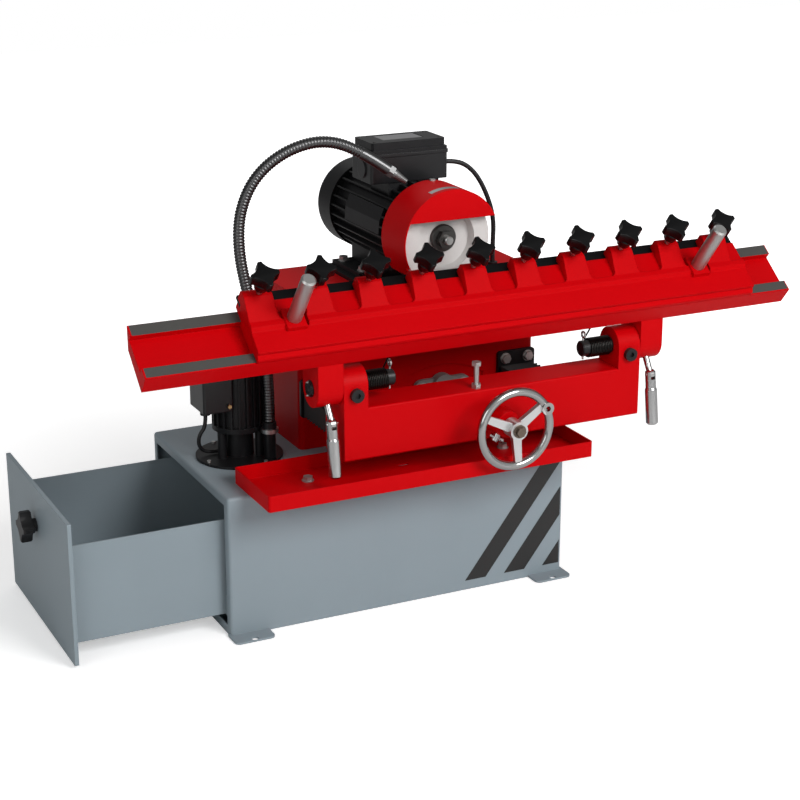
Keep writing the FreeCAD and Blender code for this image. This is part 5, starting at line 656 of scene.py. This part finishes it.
def route_curve(name, route):
    """A cord's own line: one open spline through its route's control points."""
    curve = bpy.data.curves.new(name, "CURVE")
    curve.dimensions = "3D"
    spline = curve.splines.new("NURBS")
    spline.points.add(len(route) - 1)
    for point, place in zip(spline.points, route):
        point.co = (*place, 1.0)
    spline.order_u = 3
    spline.use_endpoint_u = True
    spline.resolution_u = CORD_STEPS
    curve.resolution_u = CORD_STEPS
    return curve


def read_line(curve):
    """The points of a curve's line, as Blender works it out."""
    holder = add_object("line_reader", curve)
    line = bpy.data.meshes.new_from_object(holder)
    points = [vertex.co.copy() for vertex in line.vertices]
    bpy.data.objects.remove(holder)
    bpy.data.meshes.remove(line)
    return points


def places_along(points, step):
    """Places a step apart along a line of points, from its start to its end."""
    lengths = [0.0]
    for before, after in zip(points, points[1:]):
        lengths.append(lengths[-1] + (after - before).length)
    steps = max(2, round(lengths[-1] / step))
    places, index = [], 0
    for number in range(steps + 1):
        distance = lengths[-1] * number / steps
        while index < len(points) - 2 and lengths[index + 1] < distance:
            index += 1
        part = (distance - lengths[index]) / (lengths[index + 1] - lengths[index])
        places.append(points[index].lerp(points[index + 1], part))
    return places


def ring_matrix(places, index, radius):
    """Where a unit ring stands at a place on a line."""
    before = places[max(index - 1, 0)]
    after = places[min(index + 1, len(places) - 1)]
    forward = (after - before).normalized()
    side = Y_AXIS.cross(forward).normalized()
    axes = Matrix((side, forward.cross(side), forward)).transposed().to_4x4()
    return Matrix.Translation(places[index]) @ axes @ Matrix.Scale(radius, 4)


def extrude_ring(maker, ring, stands):
    """Extrudes a ring of edges from its first stand through the rest, and closes both ends."""
    bmesh.ops.contextual_create(maker, geom=ring)
    for before, after in zip(stands, stands[1:]):
        grown = bmesh.ops.extrude_edge_only(maker, edges=ring)["geom"]
        ring = only(BMEdge, grown)
        bmesh.ops.transform(maker, matrix=after @ before.inverted(), verts=only(BMVert, grown))
    bmesh.ops.contextual_create(maker, geom=ring)


def tube_of_rings(places, radii, segments=20):
    """A closed tube through round rings."""
    maker = bmesh.new()
    stands = [ring_matrix(places, index, radius) for index, radius in enumerate(radii)]
    bmesh.ops.create_circle(maker, segments=segments, radius=1.0, cap_ends=False)
    bmesh.ops.transform(maker, matrix=stands[0], verts=maker.verts)
    extrude_ring(maker, list(maker.edges), stands)
    return maker


def box_between(maker, low, high):
    """Adds a block between two corners and returns its corners."""
    low, high = Vector(low), Vector(high)
    place = Matrix.Translation((low + high) / 2) @ Matrix.Diagonal((*(high - low), 1.0))
    return bmesh.ops.create_cube(maker, size=1.0, matrix=place)["verts"]


def rod_between(maker, start, end, radius, segments=24, tip=None):
    """Adds a round bar between two points, or a cone to a tip's radius."""
    start, end = Vector(start), Vector(end)
    turn = Z_AXIS.rotation_difference(end - start).to_matrix().to_4x4()
    bmesh.ops.create_cone(maker, cap_ends=True, segments=segments, radius1=radius,
                          radius2=radius if tip is None else tip, depth=(end - start).length,
                          matrix=Matrix.Translation((start + end) / 2) @ turn)


def lathe(maker, profile, place, steps=48, ring=False):
    """Adds (radius, height) pairs spun round Z: a solid form, or a ring whose profile is closed."""
    before = set(maker.verts)
    corners = [maker.verts.new((radius, 0, height)) for radius, height in profile]
    following = corners[1:] + corners[:1] if ring else corners[1:]
    edges = [maker.edges.new(pair) for pair in zip(corners, following)]
    bmesh.ops.spin(maker, geom=corners + edges, cent=(0, 0, 0), axis=Z_AXIS, angle=FULL_TURN,
                   steps=steps, use_merge=True)
    if not ring:
        rims = [edge for edge in maker.edges if edge.is_boundary and edge.verts[0] not in before]
        bmesh.ops.holes_fill(maker, edges=rims)
    made = [corner for corner in maker.verts if corner not in before]
    bmesh.ops.transform(maker, matrix=place, verts=made)


def rail_place(x, up, off, turn=0.0):
    """The matrix of a place on the rail, with Z off its face."""
    up_way, off_way = rail_directions()
    origin = RAIL_ORIGIN + X_AXIS * x + up_way * up + off_way * off
    axes = Matrix((X_AXIS, up_way, off_way)).transposed().to_4x4()
    return Matrix.Translation(origin) @ axes @ Matrix.Rotation(math.radians(turn), 4, "Z")


# Pieces

class GRINDER_OT_finishes(bpy.types.Operator):
    """Builds the finishes and gives each CAD node its own"""
    bl_idname = "grinder.finishes"
    bl_label = "Finishes"

    def execute(self, context):
        for build in (paint_film_group, metal_lines_group, settled_dust_group, rail_frame_group):
            build()
        for build, table in ((coated, COATED), (metal, METALS), (two_finishes, PARTED),
                             (bonded_grit, GRITS)):
            for finish, values in table.items():
                FINISHES[finish] = build(*values)
        for finish, nodes in FINISH_OF_NODE.items():
            for node in nodes:
                for material_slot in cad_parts[node].material_slots:
                    material_slot.material = FINISHES[finish]
        return {"FINISHED"}


class GRINDER_OT_hose(bpy.types.Operator):
    """Makes the ribbed coolant hose"""
    bl_idname = "grinder.hose"
    bl_label = "Coolant hose"

    def execute(self, context):
        size = sizes()
        line = read_line(route_curve("hose_line", HOSE_ROUTE))
        places = places_along(line, size.hose_pitch / RIB_RINGS)
        crest = size.hose_diameter / 2
        slope = crest - size.hose_rib / 4
        profile = (crest - size.hose_rib, slope, crest, slope)
        sleeve = len(places) - round(HOSE_SLEEVE / (size.hose_pitch / RIB_RINGS))
        radii = [profile[index % RIB_RINGS] if index < sleeve else crest
                 for index in range(len(places))]
        piece = finish_piece(tube_of_rings(places, radii), "ribbed_hose", "hose", "base")
        smooth_faces(piece, SHARP_ON_HOSE)
        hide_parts("coolant_hose")
        return {"FINISHED"}


class GRINDER_OT_cables(bpy.types.Operator):
    """Makes the motor's cable and the pump's cable"""
    bl_idname = "grinder.cables"
    bl_label = "Cables"

    def execute(self, context):
        for name, node, route, length in CABLES:
            diameter = getattr(sizes(), node + "_diameter")
            curve = route_curve(name, route)
            curve.bevel_depth = diameter / 2
            curve.bevel_resolution = 6
            curve.use_fill_caps = True
            curve.materials.append(FINISHES["cable"])
            piece = add_object(name, curve)
            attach(piece, "base")
            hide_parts(node)
        return {"FINISHED"}


def add_bellows(maker, x, size):
    """One bellows: a rectangular ring extruded from fold to fold, wide and narrow by turns."""
    rings = len(FOLD_SHARES)
    pitch = (BELLOWS_BEAM_Y - BELLOWS_COLUMN_Y) / size.bellows_folds
    half_x, half_z = size.bellows_width / 2, size.bellows_height / 2
    narrow_x, narrow_z = half_x - size.bellows_depth, half_z - size.bellows_depth
    stands = []
    for step in range(size.bellows_folds * rings + 1):
        wide = FOLD_SHARES[step % rings]
        place = Matrix.Translation((x, BELLOWS_COLUMN_Y + pitch * step / rings, BELLOWS_Z))
        stands.append(place @ Matrix.Diagonal((narrow_x + (half_x - narrow_x) * wide, 1.0,
                                               narrow_z + (half_z - narrow_z) * wide, 1.0)))
    corners = bmesh.ops.create_circle(maker, segments=4, radius=math.sqrt(2.0), cap_ends=False,
                                      matrix=Matrix.Rotation(math.pi / 4, 4, "Z"))["verts"]
    ring = around(corners, "link_edges")
    upright = Matrix.Rotation(math.pi / 2, 4, "X")
    bmesh.ops.transform(maker, matrix=stands[0] @ upright, verts=corners)
    extrude_ring(maker, ring, stands)


class GRINDER_OT_bellows(bpy.types.Operator):
    """Makes the two folded way bellows, fixed in one length between the column and the beam"""
    bl_idname = "grinder.bellows"
    bl_label = "Way bellows"

    def execute(self, context):
        maker = bmesh.new()
        for x in BELLOWS_XS:
            add_bellows(maker, x, sizes())
        piece = finish_piece(maker, "folded_bellows", "rubber", None)
        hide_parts("way_bellows")
        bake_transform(piece)
        return {"FINISHED"}


def star_radius(angle, size):
    """How far a four-lobed knob reaches at an angle: its tip, or less where a side curves in."""
    away = (angle + math.pi / 4) % (math.pi / 2) - math.pi / 4
    inner = 1.0 - size.knob_hollow
    scoop = inner + KNOB_SCOOP
    centre = inner + scoop
    across = scoop ** 2 - (centre * math.sin(away)) ** 2
    reach = centre * math.cos(away) - math.sqrt(across) if across > 0 else 1.0
    return size.knob_radius * min(1.0, reach)


def add_star(maker, size):
    """A four-lobed grip round Z, with hollow sides and softened rims."""
    made = bmesh.ops.create_circle(maker, segments=KNOB_SEGMENTS, radius=1.0,
                                   cap_ends=True)["verts"]
    for corner in made:
        angle = math.atan2(corner.co.y, corner.co.x)
        reach = star_radius(angle, size)
        corner.co = (reach * math.cos(angle), reach * math.sin(angle), KNOB_STAR_LOW)
    foot = around(made, "link_faces")
    grown = bmesh.ops.extrude_face_region(maker, geom=foot, use_keep_orig=True)["geom"]
    top = only(BMVert, grown)
    bmesh.ops.translate(maker, verts=top, vec=(0, 0, KNOB_STAR_TOP - KNOB_STAR_LOW))
    rims = [edge for edge in around(top, "link_edges") if set(edge.verts) <= set(top)]
    rims += [edge for face in foot for edge in face.edges]
    bmesh.ops.bevel(maker, geom=rims, offset=KNOB_EDGE, offset_type="OFFSET", segments=3,
                    profile=0.5, affect="EDGES", material=-1)


class GRINDER_OT_knobs(bpy.types.Operator):
    """Makes the ten star knobs on the clamp bar"""
    bl_idname = "grinder.knobs"
    bl_label = "Clamp knobs"

    def execute(self, context):
        for number, turn in enumerate(KNOB_TURNS, 1):
            place = rail_place(KNOB_FIRST_X + (number - 1) * KNOB_SPACING, KNOB_UP, 0.0, turn)
            maker = bmesh.new()
            add_star(maker, sizes())
            bmesh.ops.transform(maker, matrix=place, verts=maker.verts)
            lathe(maker, KNOB_PROFILE, place)
            piece = finish_piece(maker, "star_knob_%02d" % number, "knob", "knob_%02d" % number)
            smooth_faces(piece)
            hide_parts("clamp_knob_%02d" % number)
        return {"FINISHED"}


def add_band(maker, x, size):
    """One slanting band, sheared from a block and cut off at the cabinet's edge."""
    low = (x, CABINET_FRONT_Y - size.film, BAND_BOTTOM_Z)
    high = (x + size.band_width, CABINET_FRONT_Y + size.film, CABINET_FLAT_TOP_Z)
    corners = box_between(maker, low, high)
    for corner in corners:
        corner.co.x += (corner.co.z - BAND_BOTTOM_Z) * size.band_slope
    block = corners + around(corners, "link_edges") + around(corners, "link_faces")
    cut = bmesh.ops.bisect_plane(maker, geom=block, plane_co=(CABINET_FLAT_RIGHT_X, 0, 0),
                                 plane_no=X_AXIS, clear_outer=True)
    rim = only(BMEdge, cut["geom_cut"])
    if rim:
        bmesh.ops.holes_fill(maker, edges=rim)


class GRINDER_OT_bands(bpy.types.Operator):
    """Paints the plain slanting bands on the cabinet's front"""
    bl_idname = "grinder.bands"
    bl_label = "Cabinet bands"

    def execute(self, context):
        maker = bmesh.new()
        for number in range(BAND_COUNT):
            add_band(maker, BAND_FIRST_X + number * BAND_PITCH, sizes())
        finish_piece(maker, "cabinet_bands", "band", "base")
        return {"FINISHED"}


def add_bent_plate(maker, wall, radius, low_y, high_y, start, sweep, steps):
    """A plate bent round the motor's axis, its outer face at a radius."""
    start = math.radians(start)
    edge_place = Vector((math.cos(start), 0, math.sin(start))) * radius + MOTOR_AXIS
    ends = [maker.verts.new(edge_place + Y_AXIS * y) for y in (low_y, high_y)]
    edge = maker.edges.new(ends)
    bmesh.ops.spin(maker, geom=ends + [edge], cent=MOTOR_AXIS, axis=-Y_AXIS,
                   angle=math.radians(sweep), steps=steps)
    bmesh.ops.recalc_face_normals(maker, faces=maker.faces)
    if maker.faces[:][0].normal.dot(edge_place - MOTOR_AXIS) < 0:
        bmesh.ops.reverse_faces(maker, faces=maker.faces)
    bmesh.ops.solidify(maker, geom=list(maker.faces), thickness=wall)


class GRINDER_OT_plates(bpy.types.Operator):
    """Adds the bare plates, the pad on the motor's side and the baffle in the fan cover"""
    bl_idname = "grinder.plates"
    bl_label = "Plates"

    def execute(self, context):
        film = sizes().film
        for name, finish, slot, wall, bend in (
                ("guard_plate", "plate", "zinc", film * 2, GUARD_PLATE),
                ("motor_side_pad", "black", "black_paint", MOTOR_PAD_WALL, MOTOR_PAD)):
            maker = bmesh.new()
            add_bent_plate(maker, wall, *bend)
            finish_piece(maker, name, finish, "base")
        maker = bmesh.new()
        round_motor = Matrix.Translation(MOTOR_AXIS) @ Matrix.Rotation(-math.pi / 2, 4, "X")
        lathe(maker, BAFFLE_PROFILE, round_motor, BAFFLE_STEPS, ring=True)
        finish_piece(maker, "fan_baffle", "black", "base")
        maker = bmesh.new()
        rims = around(box_between(maker, *LID_PLATE), "link_edges")
        bmesh.ops.bevel(maker, geom=rims, offset=film, segments=2, profile=0.5, affect="EDGES",
                        material=-1)
        finish_piece(maker, "lid_plate", "lid_plate", "base")
        return {"FINISHED"}


class GRINDER_OT_screws(bpy.types.Operator):
    """Adds the screws of the terminal lid and of the pump's box"""
    bl_idname = "grinder.screws"
    bl_label = "Small screws"

    def execute(self, context):
        maker = bmesh.new()
        for x in LID_SCREW_XS:
            for y in LID_SCREW_YS:
                foot = Vector((x, y, LID_TOP))
                rod_between(maker, foot, foot + Z_AXIS * LID_SCREW_HEAD, LID_SCREW_RADIUS,
                            segments=20, tip=LID_SCREW_RADIUS * LID_SCREW_TAPER)
        smooth_faces(finish_piece(maker, "lid_screws", "dark_steel", "base"))
        maker = bmesh.new()
        foot = Vector(PUMP_SCREW_FOOT)
        rod_between(maker, foot, foot - Y_AXIS * PUMP_SCREW_HEAD, PUMP_SCREW_RADIUS)
        finish_piece(maker, "pump_box_screw", "brass", "base")
        return {"FINISHED"}


class GRINDER_OT_shaft_ends(bpy.types.Operator):
    """Adds the caps and pins on the pivot shafts' outer ends"""
    bl_idname = "grinder.shaft_ends"
    bl_label = "Shaft ends"

    def execute(self, context):
        caps, pins = bmesh.new(), bmesh.new()
        for x, side in zip(SHAFT_ENDS, (-1, 1)):
            centre = Vector((x, PIVOT_Y, PIVOT_Z))
            outward = Matrix.Translation(centre) @ Matrix.Rotation(side * math.pi / 2, 4, "Y")
            lathe(caps, CAP_PROFILE, outward)
            for lift in (PIN_LIFT, -PIN_LIFT):
                foot = centre + Z_AXIS * lift
                rod_between(pins, foot, foot + X_AXIS * side * PIN_LENGTH, PIN_RADIUS,
                            segments=16, tip=PIN_TIP)
        smooth_faces(finish_piece(caps, "shaft_caps", "smooth_plastic", "rail"))
        smooth_faces(finish_piece(pins, "shaft_end_pins", "zinc", "rail"))
        return {"FINISHED"}


def add_spring(maker, free_x, boss_x, size):
    """A tight coil round a pivot shaft, from its free end to its boss, with a leg to the rail."""
    radius = SHAFT_RADIUS + SPRING_CLEAR + size.spring_wire
    foot = Vector((free_x, PIVOT_UP + radius, PIVOT_OFF))
    steps = size.spring_turns * SPRING_STEPS
    made = bmesh.ops.create_circle(maker, segments=WIRE_SEGMENTS, radius=size.spring_wire,
                                   matrix=Matrix.Translation(foot))["verts"]
    bmesh.ops.spin(maker, geom=made + around(made, "link_edges"), axis=X_AXIS,
                   cent=(free_x, PIVOT_UP, PIVOT_OFF), dvec=((boss_x - free_x) / steps, 0, 0),
                   angle=-FULL_TURN * size.spring_turns, steps=steps)
    bmesh.ops.holes_fill(maker, edges=[edge for edge in maker.edges if edge.is_boundary])
    rod_between(maker, foot, (*foot.xy, SPRING_LEG_TOP), size.spring_wire, WIRE_SEGMENTS)


class GRINDER_OT_springs(bpy.types.Operator):
    """Winds the two torsion springs on the pivot shafts"""
    bl_idname = "grinder.springs"
    bl_label = "Torsion springs"

    def execute(self, context):
        maker = bmesh.new()
        for free_x, boss_x in SPRING_ENDS:
            add_spring(maker, free_x, boss_x, sizes())
        bmesh.ops.transform(maker, matrix=rail_place(0.0, 0.0, 0.0), verts=maker.verts)
        piece = finish_piece(maker, "wound_springs", "spring", "rail")
        smooth_faces(piece, SHARP_ON_SPRING)
        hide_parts("torsion_springs")
        return {"FINISHED"}


# Studio

def add_camera(scene):
    """The camera at the photograph's viewing angle."""
    data = bpy.data.cameras.new("camera")
    data.lens = CAMERA_LENS
    data.clip_end = CAMERA_REACH
    camera = add_object("camera", data)
    camera.location = CAMERA_PLACE
    camera.rotation_euler = (math.radians(90.0 - CAMERA_DOWN), 0.0, -math.radians(CAMERA_ASIDE))
    scene.camera = camera


def add_floor():
    """A pale floor that shows white to the camera and keeps the shadow."""
    maker = bmesh.new()
    bmesh.ops.create_grid(maker, x_segments=1, y_segments=1, size=FLOOR_SIZE)
    mesh = bpy.data.meshes.new("floor")
    maker.to_mesh(mesh)
    maker.free()
    floor = add_object("floor", mesh)
    floor.location.z = -FLOOR_DROP
    material, tree, shader, place = blank_material("pale_floor")
    seen = put(tree, "ShaderNodeLightPath").outputs["Is Camera Ray"]
    glow = put(tree, "ShaderNodeMapRange", {
        "Value": combine(tree, "LENGTH", place)["Value"], "From Min": FLOOR_NEAR,
        "From Max": FLOOR_FAR, "To Min": FLOOR_NEAR_GLOW, "To Max": FLOOR_FAR_GLOW})
    strength = calculate(tree, "MULTIPLY", seen, glow.outputs["Result"])
    feed(tree, shader, {"Base Color": FLOOR_COLOUR, "Roughness": FLOOR_ROUGHNESS,
                        "Emission Color": WHITE, "Emission Strength": strength})
    mesh.materials.append(material)


def add_lamp(name, place, aim, width, power):
    """A soft square lamp that looks at a place."""
    data = bpy.data.lights.new(name, "AREA")
    data.shape = "SQUARE"
    data.size = width
    data.energy = power
    lamp = add_object(name, data)
    lamp.location = place
    lamp.rotation_euler = (aim - place).to_track_quat("-Z", "Y").to_euler()


def build_world(scene):
    """White to the camera and through glass, brighter in front in reflections, dim as a light."""
    world = bpy.data.worlds.new("studio")
    world.use_nodes = True
    tree = world.node_tree
    ray = put(tree, "ShaderNodeLightPath").outputs
    toward = put(tree, "ShaderNodeTexCoord").outputs["Generated"]
    front = combine(tree, "DOT_PRODUCT", toward, MIRROR_TOWARD)["Value"]
    front = calculate(tree, "MULTIPLY", calculate(tree, "MAXIMUM", front, 0.0), MIRROR_FRONT)
    mirrored = calculate(tree, "MULTIPLY", ray["Is Glossy Ray"],
                         calculate(tree, "ADD", front, MIRROR_LOW))
    seen = calculate(tree, "MAXIMUM", ray["Is Camera Ray"],
                     calculate(tree, "MAXIMUM", mirrored, ray["Is Transmission Ray"]))
    ambient = calculate(tree, "SUBTRACT", 1.0, ray["Is Glossy Ray"])
    ambient = calculate(tree, "MULTIPLY", ambient, AMBIENT)
    feed(tree, tree.nodes["Background"], {"Color": WHITE,
                                          "Strength": calculate(tree, "MAXIMUM", seen, ambient)})
    scene.world = world


class GRINDER_OT_studio(bpy.types.Operator):
    """Adds the camera, the pale floor, the soft lamps and the white surround"""
    bl_idname = "grinder.studio"
    bl_label = "Studio"

    def execute(self, context):
        add_camera(context.scene)
        add_floor()
        for name, place, width, power in LAMPS:
            add_lamp(name, Vector(place), Vector(LAMP_AIM), width, power)
        build_world(context.scene)
        context.scene.view_settings.view_transform = "Standard"
        return {"FINISHED"}


class GRINDER_PT_panel(bpy.types.Panel):
    """Lists the pieces of the grinder"""
    bl_idname = "GRINDER_PT_panel"
    bl_label = "Planer Knife Grinder"
    bl_space_type = "VIEW_3D"
    bl_region_type = "UI"
    bl_category = "Grinder"

    def draw(self, context):
        for operator in OPERATORS:
            self.layout.operator(operator.bl_idname)
        for group in (context.scene.grinder_sizes, context.scene.grinder_colours):
            column = self.layout.column()
            for name in group.bl_rna.properties.keys():
                if name not in ("rna_type", "name"):
                    column.prop(group, name)


OPERATORS = (GRINDER_OT_finishes, GRINDER_OT_hose, GRINDER_OT_cables, GRINDER_OT_bellows,
             GRINDER_OT_knobs, GRINDER_OT_bands, GRINDER_OT_plates, GRINDER_OT_screws,
             GRINDER_OT_shaft_ends, GRINDER_OT_springs, GRINDER_OT_studio)
CLASSES = (GrinderSizes, GrinderColours) + OPERATORS + (GRINDER_PT_panel,)


def register():
    for each in CLASSES:
        bpy.utils.register_class(each)
    bpy.types.Scene.grinder_sizes = PointerProperty(type=GrinderSizes)
    bpy.types.Scene.grinder_colours = PointerProperty(type=GrinderColours)


def unregister():
    del bpy.types.Scene.grinder_colours
    del bpy.types.Scene.grinder_sizes
    for each in reversed(CLASSES):
        bpy.utils.unregister_class(each)


def main():
    register()
    bpy.ops.grinder.finishes()
    bpy.ops.grinder.hose()
    bpy.ops.grinder.cables()
    bpy.ops.grinder.bellows()
    bpy.ops.grinder.knobs()
    bpy.ops.grinder.bands()
    bpy.ops.grinder.plates()
    bpy.ops.grinder.screws()
    bpy.ops.grinder.shaft_ends()
    bpy.ops.grinder.springs()
    bpy.ops.grinder.studio()


if __name__ == "__main__":
    main()
